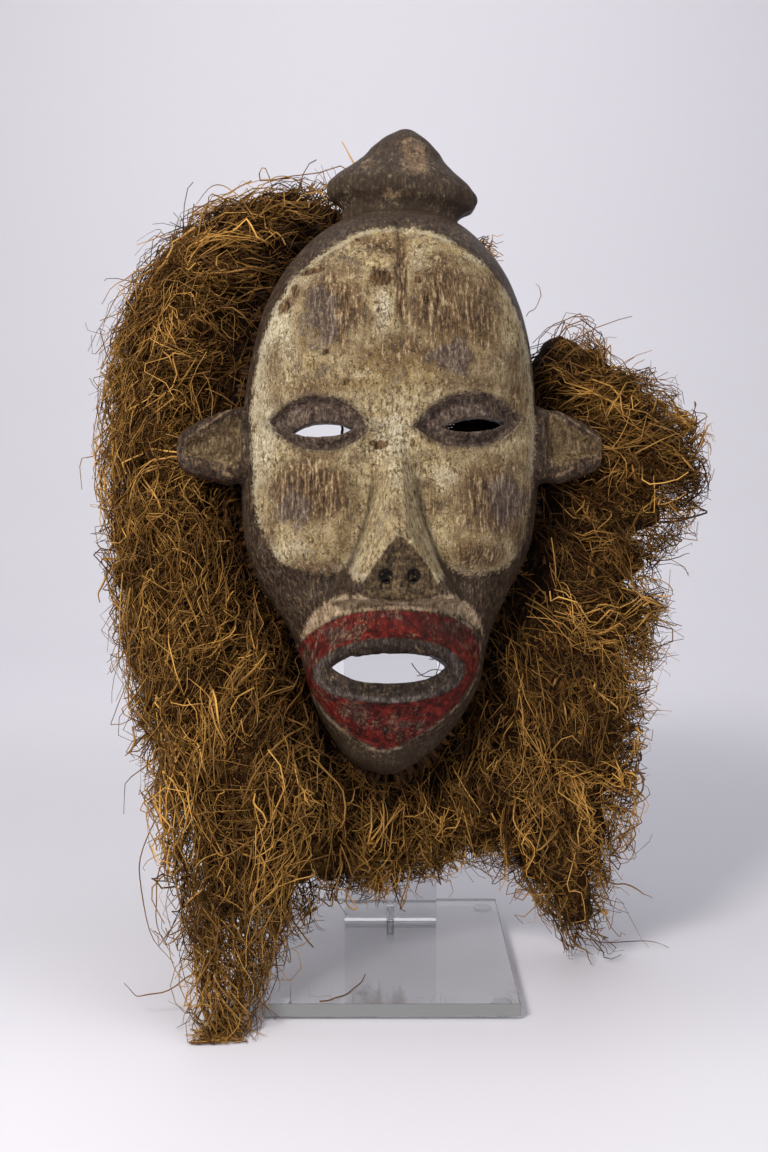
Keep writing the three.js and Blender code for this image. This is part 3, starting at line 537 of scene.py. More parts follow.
def from_mask(u, w, n):
    """Points in mm of places in the mask's own frame."""
    u, w, n = (np.asarray(v, float)[..., None] for v in (u, w, n))
    return HANG + u * ACROSS + w * UPWARD + n * OUTWARD


# Meshes


def point_rows(mesh, what="co"):
    """The place of each point of a mesh, or its normal."""
    flat = np.empty(len(mesh.vertices) * 3)
    mesh.vertices.foreach_get(what, flat)
    return flat.reshape(-1, 3)


def move_to(mesh, points):
    mesh.vertices.foreach_set("co", np.asarray(points, np.float32).ravel())
    mesh.update()


def write_field(mesh, name, values):
    """Keeps a number or a vector for each point, for the material to read."""
    values = np.asarray(values, np.float32)
    kind, key = ("FLOAT", "value") if values.ndim == 1 else ("FLOAT_VECTOR", "vector")
    mesh.attributes.new(name, kind, "POINT").data.foreach_set(key, values.ravel())


def new_object(name, data):
    piece = bpy.data.objects.new(name, data)
    bpy.context.scene.collection.objects.link(piece)
    return piece


def copy_of_node(name, node):
    """A merged copy of a frame node's mesh, as a new piece."""
    bm = bmesh.new()
    bm.from_mesh(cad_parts[node].data)
    bmesh.ops.remove_doubles(bm, verts=bm.verts, dist=2e-6)
    mesh = bpy.data.meshes.new(name)
    bm.to_mesh(mesh)
    bm.free()
    if "custom_normal" in mesh.attributes:
        mesh.attributes.remove(mesh.attributes["custom_normal"])
    return new_object(name, mesh)


def modify(piece, kind, **settings):
    """Makes the result of one modifier the piece's mesh."""
    modifier = piece.modifiers.new(kind.lower(), kind)
    for name, value in settings.items():
        setattr(modifier, name, value)
    bpy.context.view_layer.update()
    shaped = bpy.data.meshes.new_from_object(piece.evaluated_get(bpy.context.evaluated_depsgraph_get()))
    old = piece.data
    piece.modifiers.clear()
    piece.data = shaped
    shaped.name = piece.name
    bpy.data.meshes.remove(old)


def remesh(piece, size):
    """An even mesh over the piece's outside, with its steps softened."""
    modify(piece, "REMESH", mode="VOXEL", voxel_size=size)
    modify(piece, "SMOOTH", factor=0.5, iterations=4)


def thin_to(piece, triangles):
    """Fewer faces where the surface is plain, down to a number of triangles."""
    now = sum(len(p.vertices) - 2 for p in piece.data.polygons)
    if now > triangles:
        modify(piece, "DECIMATE", ratio=triangles / now)


def smooth_shaded(mesh):
    mesh.polygons.foreach_set("use_smooth", np.ones(len(mesh.polygons), bool))
    mesh.update()


def clad(piece, *materials):
    """Gives a piece these materials and no others."""
    piece.data.materials.clear()
    for material in materials:
        piece.data.materials.append(material)


def finish_piece(piece, material, slot, *nodes):
    clad(piece, material)
    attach(piece, "root")
    if nodes:
        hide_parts(*nodes)


# Materials


class Field:
    """A number that changes over a surface. Arithmetic on it adds Math nodes."""

    def __init__(self, finish, socket):
        self.finish = finish
        self.socket = socket

    def math(self, operation, *others):
        values = dict(enumerate((self, *others)))
        return self.finish.number(0, "ShaderNodeMath", {"operation": operation}, values)

    def __add__(self, other):
        return self.math("ADD", other)

    __radd__ = __add__

    def __mul__(self, other):
        return self.math("MULTIPLY", other)

    __rmul__ = __mul__

    def __sub__(self, other):
        return self.math("SUBTRACT", other)

    def __rsub__(self, other):
        return (self * -1) + other

    def either(self, other):
        return self.math("MAXIMUM", other)

    def swing(self, size):
        """The number's swing about a half, made this much larger."""
        return (self - 0.5) * size

    def near_zero(self, close, far):
        """From 1 where the number is close to 0 to 0 where it is far from it."""
        return 1 - self.math("ABSOLUTE").step(close, far)

    def step(self, low, high):
        """From 0 to 1 as the number goes from low to high."""
        values = {"Value": self, "From Min": low, "From Max": high, "To Min": 0.0, "To Max": 1.0}
        return self.finish.number(0, "ShaderNodeMapRange", {"interpolation_type": "SMOOTHSTEP"}, values)


class Finish:
    """A material whose nodes are added one at a time."""

    def __init__(self, name):
        self.material = bpy.data.materials.new(name)
        self.material.use_nodes = True
        self.tree = self.material.node_tree
        self.tree.nodes.clear()

    def node(self, kind, settings=None, values=None):
        node = self.tree.nodes.new(kind)
        for name, value in (settings or {}).items():
            if name == "stops":
                ramp = node.color_ramp
                while len(ramp.elements) < len(value):
                    ramp.elements.new(0.5)
                for element, (place, colour) in zip(ramp.elements, value):
                    element.position = place
                    element.color = (*colour, 1)
            else:
                setattr(node, name, value)
        for name, value in (values or {}).items():
            socket = node.inputs[name]
            value = getattr(value, "socket", value)
            if isinstance(value, bpy.types.NodeSocket):
                self.tree.links.new(value, socket)
            elif isinstance(value, tuple) and len(value) == 3 and socket.type == "RGBA":
                socket.default_value = (*value, 1)
            else:
                socket.default_value = value
        return node

    def number(self, output, *node):
        """A new node's output, as a number over the surface."""
        return Field(self, self.node(*node).outputs[output])

    def field(self, name, output="Fac"):
        """A number or a vector kept on the mesh."""
        settings = {"attribute_type": "GEOMETRY", "attribute_name": name}
        return self.number(output, "ShaderNodeAttribute", settings)

    def object_place(self):
        return self.node("ShaderNodeTexCoord").outputs["Object"]

    def stretched(self, vector, scale):
        values = {0: vector, 1: scale}
        return self.node("ShaderNodeVectorMath", {"operation": "MULTIPLY"}, values).outputs[0]

    def noise(self, vector, scale, detail=4.0, roughness=0.55, distortion=0.0):
        return self.number("Fac", "ShaderNodeTexNoise", {}, {
            "Vector": vector, "Scale": scale, "Detail": detail, "Roughness": roughness,
            "Distortion": distortion,
        })

    def cells(self, vector, scale):
        """The distance to the edges of an irregular net, as in a crackled coat."""
        settings, values = {"feature": "DISTANCE_TO_EDGE"}, {"Vector": vector, "Scale": scale}
        return self.number("Distance", "ShaderNodeTexVoronoi", settings, values)

    def ramp(self, amount, *stops):
        """A colour that passes through stops of place and colour."""
        return self.node("ShaderNodeValToRGB", {"stops": stops}, {"Fac": amount}).outputs["Color"]

    def tones(self, amount, paint):
        """The tone of a paint, from its dark one at low amounts to its pale one."""
        return self.ramp(amount, *((place, colour) for place, *colour in TONES[paint]))

    def mix(self, amount, under, over, how="MIX"):
        """One colour over another, as much as the amount says."""
        settings = {"data_type": "RGBA", "blend_type": how}
        return self.node("ShaderNodeMix", settings, {0: amount, 6: under, 7: over}).outputs[2]

    def darken(self, colour, amount, shade):
        return self.mix(amount, colour, shade, "MULTIPLY")

    def bump(self, height, distance, strength=1.0):
        values = {"Height": height, "Distance": distance, "Strength": strength}
        return self.node("ShaderNodeBump", {}, values).outputs["Normal"]

    def surface(self, **values):
        """The shader, with its sockets named by words joined with underscores."""
        named = {name.replace("_", " "): value for name, value in values.items()}
        shader = self.node("ShaderNodeBsdfPrincipled", {}, named)
        out = self.node("ShaderNodeOutputMaterial")
        self.tree.links.new(shader.outputs[0], out.inputs["Surface"])
        return self.material


def painted_wood(sizes):
    """Dark carved wood under worn cream clay and red earth paint."""
    f = Finish("painted_wood")
    at = f.field("carving", "Vector")
    panel, red, worn = f.field("panel"), f.field("red"), f.field("worn")

    broad = f.noise(at, 0.035, 3)
    mottle = f.noise(at, 0.17, 9, 0.72)
    patch = f.noise(at, 0.075, 6, 0.7)
    fine = f.noise(at, 0.75, 4, 0.75)
    streak = f.noise(f.stretched(at, (1.0, 0.14, 1.0)), 0.5, 8, 0.7)
    flake = f.noise(at, 0.5, 7, 0.74)
    grains = f.noise(f.stretched(at, (1.0, 0.5, 1.0)), 0.55, 6, 0.85)
    ground = mottle * 0.3 + grains * 0.4 + streak * 0.3
    shift = f.node("ShaderNodeTexNoise", {}, {"Vector": at, "Scale": 0.22, "Detail": 6.0})
    shifted = f.node("ShaderNodeVectorMath", {"operation": "MULTIPLY_ADD"}, {
        0: shift.outputs["Color"], 1: (9.0, 9.0, 9.0), 2: at,
    }).outputs[0]

    # Bare wood, and the wood where the paint is rubbed thin
    bare = f.tones(streak * 0.5 + grains * 0.5, "bare")
    bare = f.mix(patch.step(0.5, 0.62) * 0.5, bare, f.tones(grains, "bare_grey"))
    bare = f.mix(fine.step(0.62, 0.72) * 0.6, bare, (0.22, 0.15, 0.09))
    violet = (f.field("violet") + patch.swing(1.6)).step(0.35, 0.65)
    rubbed = f.mix(violet * 0.8, f.tones(streak * 0.55 + grains * 0.45, "rubbed"),
                   f.tones(streak * 0.5 + grains * 0.5, "rubbed_grey"))

    # The cream coat with its stains, flecks and cracks, and its pale patches, partly painted highlight
    ochre = (f.field("ochre") + patch.swing(1.5) + streak.swing(0.8)).step(0.25, 0.75)
    bright = (f.field("bright") + patch.swing(2.0) + grains.swing(4.5)).step(0.5, 0.75)
    cracked = (f.field("cracked") + patch.swing(0.9)).step(0.2, 0.5)
    wide = (1 - f.cells(shifted, 0.13).step(0.0, 0.045)) * cracked * flake.step(0.4, 0.48)
    cracks = ((1 - f.cells(shifted, 0.27).step(0.0, 0.045)) * flake.step(0.46, 0.56)).either(wide)
    flecks = f.noise(at, 0.9, 3, 0.65).step(0.57, 0.64) * flake.step(0.45, 0.6)
    rim = (panel - 3.0 + flake.swing(9.0)).near_zero(0.4, 3.5) * patch.step(0.42, 0.56) * 0.5
    wear = worn * 1.15 + patch.swing(2.2) + mottle.swing(1.9) + streak.swing(2.2) + grains.swing(3.2)
    through = wear.step(0.54, 0.6)
    cream = f.tones(ground, "cream")
    for amount, over in (
        ((broad.step(0.44, 0.66) * 0.35).either(ochre * 0.62), f.tones(ground, "ochre")),
        (patch.step(0.54, 0.66) * 0.4, f.tones(grains, "cream_grey")),
        (bright * 0.75, f.tones(ground, "bright")),
        (fine.step(0.58, 0.66) * 0.7, (0.07, 0.046, 0.03)),
        (flecks * 0.7, (0.86, 0.82, 0.7)),
        (cracks * 0.85, (0.045, 0.03, 0.02)),
        (rim, (0.7, 0.62, 0.44)),
        (through * 0.95, rubbed),
    ):
        cream = f.mix(amount, cream, over)

    # The red coat, dusty grey in places, with painted shade on its right side above the mouth
    dust = (f.field("dusty") + patch.swing(3.0) + grains.swing(2.5)).step(0.45, 0.75)
    earth = f.mix(dust * 0.8, f.tones(mottle * 0.4 + ground * 0.6, "red"), f.tones(ground, "dust"))
    earth = f.mix(f.field("shaded") * 0.8, earth, (0.03, 0.014, 0.011))

    # Each coat in its place, from the wood outwards
    coat = (panel + flake.swing(14.0) + patch.swing(12.0) - worn * 1.5).step(-0.8, 1.8)
    chip = (f.field("chip") + grains.swing(2.0) + fine.swing(2.0)).step(0.4, 0.6)
    band = (f.field("band") + flake.swing(10.0) + patch.swing(8.0)).step(-1.0, 2.0)
    redness = (red + flake.swing(8.0) + patch.swing(8.0)).step(-0.4, 1.4)
    red_edge = (red + 1.0 + flake.swing(6.0)).near_zero(0.3, 1.5) * patch.step(0.44, 0.54)
    lips = (f.field("lip") + flake.swing(0.16)).step(0.05, 0.3)
    lid = (f.field("socket") + flake.swing(8.0) + patch.swing(4.0)).step(-0.3, 1.0)
    scoop = (f.field("ear") + patch.swing(1.0) + grains.swing(1.5)).step(0.08, 0.35)
    rub = (f.field("rub") + mottle.swing(2.0) + flake.swing(1.2)).step(0.5, 0.9)
    colour = bare
    for amount, over in (
        (coat, cream),
        # Painted shade: darker in the folds beside the nose, round the eyes, on the chin and in the ear
        # scoops, and dimmer at the top
        (f.field("grime") * 0.85, (0.05, 0.033, 0.02)),
        (chip * 0.9, f.tones(streak, "chip")),
        (band * 0.9, f.tones(ground, "band")),
        (redness, earth),
        (red_edge * 0.75, f.tones(ground, "red_edge")),
        # The lips' ring, with its crest paler: partly worn wood, partly painted highlight
        (lips, f.mix(f.field("crest"), f.tones(ground, "lip"), f.tones(ground, "lip_crest"))),
        (lid, f.tones(ground, "lid")),
        ((f.field("under") + flake.swing(4.0)).step(-0.5, 1.2), f.tones(ground, "under_nose")),
        # Painted shade: the shallow nostril dips nearly black, as deep holes would be
        (f.field("nostrils").step(0.15, 0.55), (0.006, 0.004, 0.003)),
        (scoop * 0.85, f.tones(ground, "ear")),
        (rub * 0.8, f.tones(ground, "rub")),
        (f.field("inner").step(0.3, 0.7), f.tones(streak, "inner")),
    ):
        colour = f.mix(amount, colour, over)

    height = (streak * 0.5 + fine * 0.35 + mottle * 0.6 + grains * 1.1 + coat * 0.45 - cracks * coat * 0.8
              - through * coat * 0.35)
    rough = 0.42 + coat * 0.3 + fine.swing(0.3) + redness * 0.15
    return f.surface(Base_Color=colour, Roughness=rough, Specular_IOR_Level=0.15,
                     Normal=f.bump(height, 0.0011, sizes.relief))


def raffia_finish(name, dark, light, shade):
    """Dry palm fibre: one tone for each strand, with darker and paler lengths, and painted shade where the
    strand's depth is low.
    """
    f = Finish(name)
    tone, depth = f.field("tone"), f.field("depth")
    along = f.noise(f.object_place(), 70.0, 4, 0.6)
    fine = f.noise(f.stretched(f.object_place(), (1.0, 1.0, 0.25)), 1400.0, 3, 0.6)
    middle = tuple(0.7 * a + 0.3 * b for a, b in zip(dark, light))
    colour = f.ramp(tone + along.swing(0.7), (0.05, dark), (0.45, middle), (0.95, light))
    # Painted shade: darker where the depth field is low, deep in the ruff and close behind the mask
    colour = f.darken(colour, (1 - depth) * shade, (0.12, 0.08, 0.05))
    return f.surface(Base_Color=colour, Roughness=0.6, Specular_IOR_Level=0.15,
                     Normal=f.bump(fine, 0.0002, 0.5))


def raffia_mat(dark, light):
    """The matted mass under the loose strands: bundles of fine curling lines, on a ground of painted shade.
    """
    f = Finish("raffia_mat")
    at = f.object_place()
    # Painted shade: a nearly black ground between the lines, and each line darker along its sides
    colour, relief = tuple(0.12 * c for c in dark), None
    for k, (scale, period) in enumerate(((34.0, 0.03), (52.0, 0.042), (80.0, 0.055))):
        level = f.noise(f.stretched(at, (1.0, 1.0, 0.7)), scale, 2.0, 0.45, 0.8 + 0.3 * k) * (1 / period)
        band = level.math("FLOOR")
        ridge = 1 - ((level - band) * 2 - 1).math("ABSOLUTE")
        tone = f.number("Value", "ShaderNodeTexWhiteNoise", {"noise_dimensions": "1D"},
                        {"W": band + 31.7 * k})
        shown = (ridge - tone * 0.35 + f.noise(at, 30.0 + 9 * k, 3).swing(1.6)).step(0.2, 0.5)
        strand = f.ramp(tone, (0.0, tuple(0.25 * c for c in dark)), (0.45, dark),
                        (1.0, tuple(0.45 * a + 0.55 * b for a, b in zip(dark, light))))
        strand = f.darken(strand, (1 - ridge) * 0.8, (0.25, 0.2, 0.15))
        colour = f.mix(shown, colour, strand)
        relief = ridge * shown if relief is None else relief.either(ridge * shown)
    # Painted shade: the whole mat darker close behind the mask's rim
    colour = f.darken(colour, 1 - f.field("depth"), (0.16, 0.12, 0.09))
    return f.surface(Base_Color=colour, Roughness=0.7, Specular_IOR_Level=0.1,
                     Normal=f.bump(relief, 0.0016, 1.0))


def clear_acrylic(name, roughness, tint, clear=1.0):
    """Clear plastic, with plain values all over."""
    f = Finish(name)
    return f.surface(Base_Color=tint, Roughness=roughness, Transmission_Weight=clear, IOR=1.49,
                     Specular_IOR_Level=0.5)


# Raffia strands


def sweep(piece, sides):
    """Turns every line of a mesh into a closed strand, as thick as its points say."""
    tree = bpy.data.node_groups.new("sweep", "GeometryNodeTree")
    for way in ("INPUT", "OUTPUT"):
        tree.interface.new_socket("Geometry", in_out=way, socket_type="NodeSocketGeometry")
    lines, result, thick, curve, profile, tube = (tree.nodes.new(kind) for kind in (
        "NodeGroupInput", "NodeGroupOutput", "GeometryNodeInputNamedAttribute", "GeometryNodeMeshToCurve",
        "GeometryNodeCurvePrimitiveCircle", "GeometryNodeCurveToMesh",
    ))
    thick.inputs["Name"].default_value = "thick"
    profile.inputs["Resolution"].default_value = sides
    profile.inputs["Radius"].default_value = 0.001
    tube.inputs["Fill Caps"].default_value = True
    for source, target in (
        (lines.outputs[0], curve.inputs["Mesh"]), (curve.outputs[0], tube.inputs["Curve"]),
        (profile.outputs["Curve"], tube.inputs["Profile Curve"]),
        (thick.outputs["Attribute"], tube.inputs["Scale"]), (tube.outputs[0], result.inputs[0]),
    ):
        tree.links.new(source, target)
    modify(piece, "NODES", node_group=tree)


def strand_piece(name, groups, sides=3):
    """One piece of closed strands: each group is paths, half widths, tones and depths, in mm."""
    paths = [path for group in groups for path in group[0]]
    lengths = np.array([len(path) for path in paths])
    ends = np.cumsum(lengths)
    points = np.concatenate(paths) * 0.001
    first = np.setdiff1d(np.arange(len(points)), ends - 1)
    mesh = bpy.data.meshes.new(name)
    mesh.from_pydata(points, np.stack([first, first + 1], axis=1), [])
    write_field(mesh, "thick", np.concatenate([row for group in groups for row in group[1]]))
    write_field(mesh, "tone", np.repeat(np.concatenate([group[2] for group in groups]), lengths))
    write_field(mesh, "depth", np.concatenate([np.ravel(group[3]) for group in groups]))
    piece = new_object(name, mesh)
    sweep(piece, sides)
    smooth_shaded(piece.data)
    return piece


def lock_rows():
    """The locks' tables: root, middle and tip in mm, and the half widths."""
    rim = rim_point(np.array([row[0] for row in LOCKS]))
    root = from_mask(rim[:, 0], rim[:, 1], np.full(len(LOCKS), -(BAND_BEHIND + 1)))
    middle = np.array([row[1] for row in LOCKS], float) + STAND
    tip = np.array([row[2] for row in LOCKS], float) + STAND
    return root, middle, tip, np.array([row[3] for row in LOCKS], float)


def between(table, place):
    """Values at places that lie between a table's rows."""
    low = np.clip(np.floor(place).astype(int), 0, len(table) - 2)
    share = (place - low)[:, None]
    return table[low] * (1 - share) + table[low + 1] * share


def keep_clear(points):
    """Moves strands out of the mask's wall, off the upright, the plate and the floor."""
    u, w, n = to_mask(points.reshape(-1, 3) * 0.001)
    inside = inside_by(RIM[::6], u, w)
    deep = np.where(inside > -2.5, -3.0 - 0.35 * np.clip(inside + 2.5, 0, 12), 1e9)
    moved = np.where((n > deep) & (n < 60), deep, n)
    x, y, z = (from_mask(u, w, moved) - STAND).T
    y = np.where((np.abs(x) < UPRIGHT_CLEAR[0]) & (y > UPRIGHT_CLEAR[1]), UPRIGHT_CLEAR[1], y)
    over_plate = (np.abs(x) < PLATE_CLEAR[0]) & (np.abs(y) < PLATE_CLEAR[1])
    z = np.maximum(z, np.where(over_plate, OVER_PLATE + 0.02 * np.abs(x), OVER_FLOOR))
    inner = np.stack([x, y, z], axis=1) + STAND
    low, high = (np.array(corner) * 1000 for corner in CAD_BOX)
    inner = np.where(inner > high, high + PAST_BOX * np.tanh((inner - high) / PAST_BOX), inner)
    inner = np.where(inner < low, low - PAST_BOX * np.tanh((low - inner) / PAST_BOX), inner)
    return inner.reshape(points.shape)


def away_from_mask(points):
    """From 0 deep against the mask's rim to 1 out in the light."""
    u, w, n = to_mask(points.reshape(-1, 3) * 0.001)
    gap = -inside_by(RIM[::10], u, w) + 0.5 * np.maximum(n, 0)
    return smooth(6, 50, gap).reshape(points.shape[:-1])


def lock_frame(place, t):
    """The middle line, the two directions across it and the width at shares t along the locks."""
    root, middle, tip, half = (between(table, place)[:, None] for table in lock_rows())
    bend = 2 * middle - (root + tip) / 2
    t3 = t[:, :, None]
    centre = root * (1 - t3) ** 2 + bend * 2 * t3 * (1 - t3) + tip * t3 ** 2
    along = 2 * (1 - t3) * (bend - root) + 2 * t3 * (tip - bend)
    reach = np.linalg.norm(along, axis=2, keepdims=True)
    along = along / np.maximum(reach, 1e-6)
    across = np.cross(along, np.array([0.0, 1.0, 0.0]))
    across /= np.maximum(np.linalg.norm(across, axis=2, keepdims=True), 1e-6)
    front = np.cross(across, along)
    width = np.where(t < 0.5, half[:, :, 0] + (half[:, :, 1] - half[:, :, 0]) * smooth(0, 0.5, t),
                     half[:, :, 1] + (half[:, :, 2] - half[:, :, 1]) * smooth(0.5, 1.05, t))
    return centre, across, front, width, reach[:, :, 0].mean(axis=1)


def shares(count, points):
    """From 0 to 1 along every one of many strands."""
    return np.linspace(0, 1, points)[None, :] * np.ones((count, 1))


def waves(rng, count, tau, length, rows):
    """Smooth wandering in three directions: rows give wave length and size, both in mm."""
    total = np.zeros((count, tau.shape[1], 3))
    for wave, size in rows:
        turns = (length / (wave * rng.uniform(0.7, 1.5, count)))[:, None, None]
        phase = rng.uniform(0, 2 * math.pi, (count, 1, 3))
        total += np.sin(2 * math.pi * turns * tau[:, :, None] + phase) * rng.normal(0, size, (count, 1, 3))
    return total


def clumps(first, last, count, strands_each, points, rng, sizes, loose):
    """Strands that follow the locks from first to last in clumps which wander together.
    Gives their paths, half widths, tones and depths, and a low depth paints a strand with shade."""
    tables = lock_rows()
    spans = np.linalg.norm(tables[2] - tables[1], axis=1) + np.linalg.norm(tables[1] - tables[0], axis=1)
    weight = (spans * tables[3][:, 1])[first:last + 1]
    number = max(int(count / strands_each), 1)
    place = first + rng.choice(last - first + 1, number, p=weight / weight.sum())
    place = np.clip(place + rng.uniform(-0.5, 0.5, number), 0, len(LOCKS) - 1)
    angle = math.pi * (rng.uniform(0, 1, number) - (rng.uniform(0, 1, number) < 0.64))
    share = rng.uniform(0.42, 1, number) ** 0.5 * (1 + 0.1 * loose)
    length = rng.uniform(36, 74, number) * (1 + 0.2 * loose)
    start = rng.uniform(0, 1, number) ** 1.25 * 0.97

    repeat = np.repeat(np.arange(number), strands_each)
    every = len(repeat)
    tau = shares(every, points)
    slide = rng.normal(0, 0.06, every)
    reach = lock_frame(place, np.full((number, 1), 0.5))[4]
    stop = start + length / np.maximum(reach, 40)
    t = start[repeat][:, None] + slide[:, None]
    t = t + ((stop - start)[repeat] * rng.uniform(0.6, 1.2, every))[:, None] * tau
    t = np.clip(t, 0.0, 1.12)
    centre, across, front, width, _ = lock_frame(place[repeat], t)
    drift = rng.normal(0, 0.75, number)[repeat][:, None] * (tau - 0.5)
    wander = angle[repeat][:, None] + drift + rng.normal(0, 0.07, every)[:, None]
    dome = 1 - 0.22 * (2 * tau - 1) ** 2 + loose * 0.45 * smooth(0.5, 1.0, tau)
    lumps = 1 + 0.19 * np.sin(10 * t + 6 * place[repeat][:, None]) * np.cos(4 * wander + 3 * t)
    radius = share[repeat][:, None] * width * dome * lumps
    path = (centre + across * (np.cos(wander) * radius)[:, :, None]
            + front * (np.sin(wander) * radius * 0.85)[:, :, None])
    path += waves(rng, number, shares(number, points), length,
                  ((55, 4.5 * sizes.curl), (28, 2.4 * sizes.curl)))[repeat]
    path += rng.normal(0, 2.8, (every, 1, 3)) * (0.5 + 0.9 * np.abs(2 * tau - 1))[:, :, None]
    path += rng.normal(0, 9, (every, 1, 3)) * (tau - 0.5)[:, :, None]
    path += (rng.normal(0, 12, (number, 1, 3)) * (np.linspace(0, 1, points) - 0.5)[None, :, None])[repeat]
    path += waves(rng, every, tau, length[repeat],
                  ((40, (2.5 + 3 * loose) * sizes.curl), (23, (2.2 + 0.8 * loose) * sizes.curl)))
    path = keep_clear(path)

    coarse = rng.uniform(0, 1, every) < 0.05
    thick = np.where(coarse, rng.uniform(0.7, 1.0, every), rng.lognormal(0, 0.25, every) * 0.46)
    widths = thick[:, None] * sizes.strand_width * 1000 * (1 - 0.5 * smooth(0.6, 1.0, tau))
    tone = rng.normal(0.42, 0.2, number)[repeat] + rng.normal(0, 0.2, every) + 0.3 * coarse
    tone += 0.12 * (1 - smooth(60, 260, path[:, 0, 2]))
    # Painted shade: strands deep in their lock, close behind the mask's rim or in the hollows between lumps
    # get a low depth, which darkens them
    depth = np.clip((share[repeat] - 0.6) / 0.35, 0, 1)[:, None] * away_from_mask(path)
    depth *= 0.25 + 0.75 * smooth(0.84, 1.06, lumps)
    return path, widths, np.clip(tone, 0, 1), depth


def long_strand(places, rng, thick, tone, wobble=1.2, steps=20):
    """One strand through a few places, in mm."""
    knots, t = np.linspace(0, 1, len(places)), np.linspace(0, 1, steps)
    path = np.stack([np.interp(t, knots, places[:, k]) for k in range(3)], axis=1)
    for _ in range(4):
        path[1:-1] = (path[:-2] + 2 * path[1:-1] + path[2:]) / 4
    path += wobble * np.sin(2 * math.pi * np.outer(t, rng.uniform(1, 3, 3)) + rng.uniform(0, 6, 3))
    return path, thick * (1 - 0.5 * smooth(0.6, 1.0, t)), tone


def grouped(strands):
    """Single strands as the groups of a strand_piece."""
    paths, widths, tones = zip(*strands)
    return ((paths, widths, np.array(tones), np.ones(sum(len(path) for path in paths))),)


# Sizes and colours that a user would change


class MaskSettings(PropertyGroup):
    """The carved mask."""
    voxel: FloatProperty(name="Carving grain", description="Distance between points of the carved surface",
                         default=0.0013, unit="LENGTH")
    relief: FloatProperty(name="Surface relief", description="Strength of the paint's and the grain's relief",
                          default=0.8, min=0, max=2)
    triangles: IntProperty(name="Triangles", description="Most triangles that the mask keeps", default=105000)


class RaffiaSettings(PropertyGroup):
    """The raffia ruff."""
    count: IntProperty(name="Strands", description="Ordinary strands in each piece of the ruff", default=2250)
    strand_width: FloatProperty(name="Strand width", description="Width of an ordinary strand",
                                default=0.0008, unit="LENGTH")
    curl: FloatProperty(name="Curl", description="How much the strands wander", default=1.0, min=0, max=3)
    dark: FloatVectorProperty(name="Dark fibre", description="Colour of the darkest strands", subtype="COLOR",
                              default=(0.066, 0.024, 0.004))
    light: FloatVectorProperty(name="Light fibre", description="Colour of the palest strands",
                               subtype="COLOR", default=(0.8, 0.43, 0.105))


class StandSettings(PropertyGroup):
    """The clear stand."""
    edge: FloatProperty(name="Edge round", description="Radius of the acrylic's polished edges",
                        default=0.0005, unit="LENGTH")
    tint: FloatVectorProperty(name="Tint", description="Colour of the acrylic", subtype="COLOR",
                              default=(0.875, 0.88, 0.885))


class StageSettings(PropertyGroup):
    """Floor, lights and camera."""
    floor: FloatVectorProperty(name="Floor", description="Colour of the floor", subtype="COLOR",
                               default=(0.81, 0.795, 0.845))
    lens: FloatProperty(name="Lens", description="Focal length of the camera, in mm", default=43.75)
    pitch: FloatProperty(name="Camera pitch", description="How far the camera looks down", subtype="ANGLE",
                         default=math.radians(5.5))


# Pieces


def project_to_front(points, normals):
    """Moves the points that lie on the carved front onto its finished surface."""
    u, w, n = to_mask(points)
    facing = np.stack([normals @ ACROSS, normals @ UPWARD, normals @ OUTWARD], axis=1)
    near = np.abs(across_face(u, w)[0]) < 0.985
    near &= (w > LEVEL_MIDDLE[0, 1] + 4) & (w < LEVEL_MIDDLE[-1, 1] - 6)
    keep, step = np.ones(len(u)), 0.3
    for _ in range(4):
        height = face_height(u, w)
        slope_u = (face_height(u + step, w) - face_height(u - step, w)) / (2 * step)
        slope_w = (face_height(u, w + step) - face_height(u, w - step)) / (2 * step)
        size = np.sqrt(slope_u ** 2 + slope_w ** 2 + 1)
        away = (n - height) / size
        agree = (-slope_u * facing[:, 0] - slope_w * facing[:, 1] + facing[:, 2]) / size
        keep = np.minimum(keep, near * smooth(0.3, 0.6, agree) * (1 - smooth(5.0, 6.5, np.abs(away))))
        pull = np.clip(away, -1.5, 1.5) * keep
        u, w, n = u + pull * slope_u / size, w + pull * slope_w / size, n - pull / size
    return from_mask(u, w, n) * 0.001


def round_knob(points):
    """Takes the flats off the turned knob."""
    u, w, n = to_mask(points)
    x, z = turned(u - KNOB_U, w - KNOB_W, -KNOB_TILT)
    y = -(n - KNOB_N) / KNOB_FLAT
    angle = np.arctan2(y, x)
    flat = 2 * math.pi / KNOB_SIDES
    off = np.mod(angle, flat) - flat / 2
    grow = 1 + (np.cos(off) / math.cos(flat / 2) - 1) * smooth(2, 8, z)
    marks = 1 + 0.006 * ripple(angle * 30, z * 2, 26, 9) * smooth(2, 8, z)
    x, y = x * grow * marks, y * grow * marks
    x, z = turned(x, z, KNOB_TILT)
    return from_mask(KNOB_U + x, KNOB_W + z, KNOB_N - y * KNOB_FLAT) * 0.001


def ear_place(u, w, grow=EAR_GROW):
    """Where a place lies on an ear: 0 at the head to 1 at the tip, and -1 to 1 from edge to edge."""
    out = (np.abs(u) - EAR_ROOT) / EAR_REACH
    middle, half = np.interp(out, (0, 1), EAR_MIDDLE), np.interp(out, (0, 1), EAR_HALF)
    return out, (w - middle) / (half * (1 + grow * smooth(0.0, 0.3, out)))


def ear_scoop(out, across):
    """From 0 on an ear's rim to 1 along the deepest line of its scoop."""
    valley = np.clip(1.5 * (1 - np.abs(across) / (0.84 - 0.58 * out)), 0, 1)
    return window(0.0, 0.12, 0.74, 0.94, out) * valley


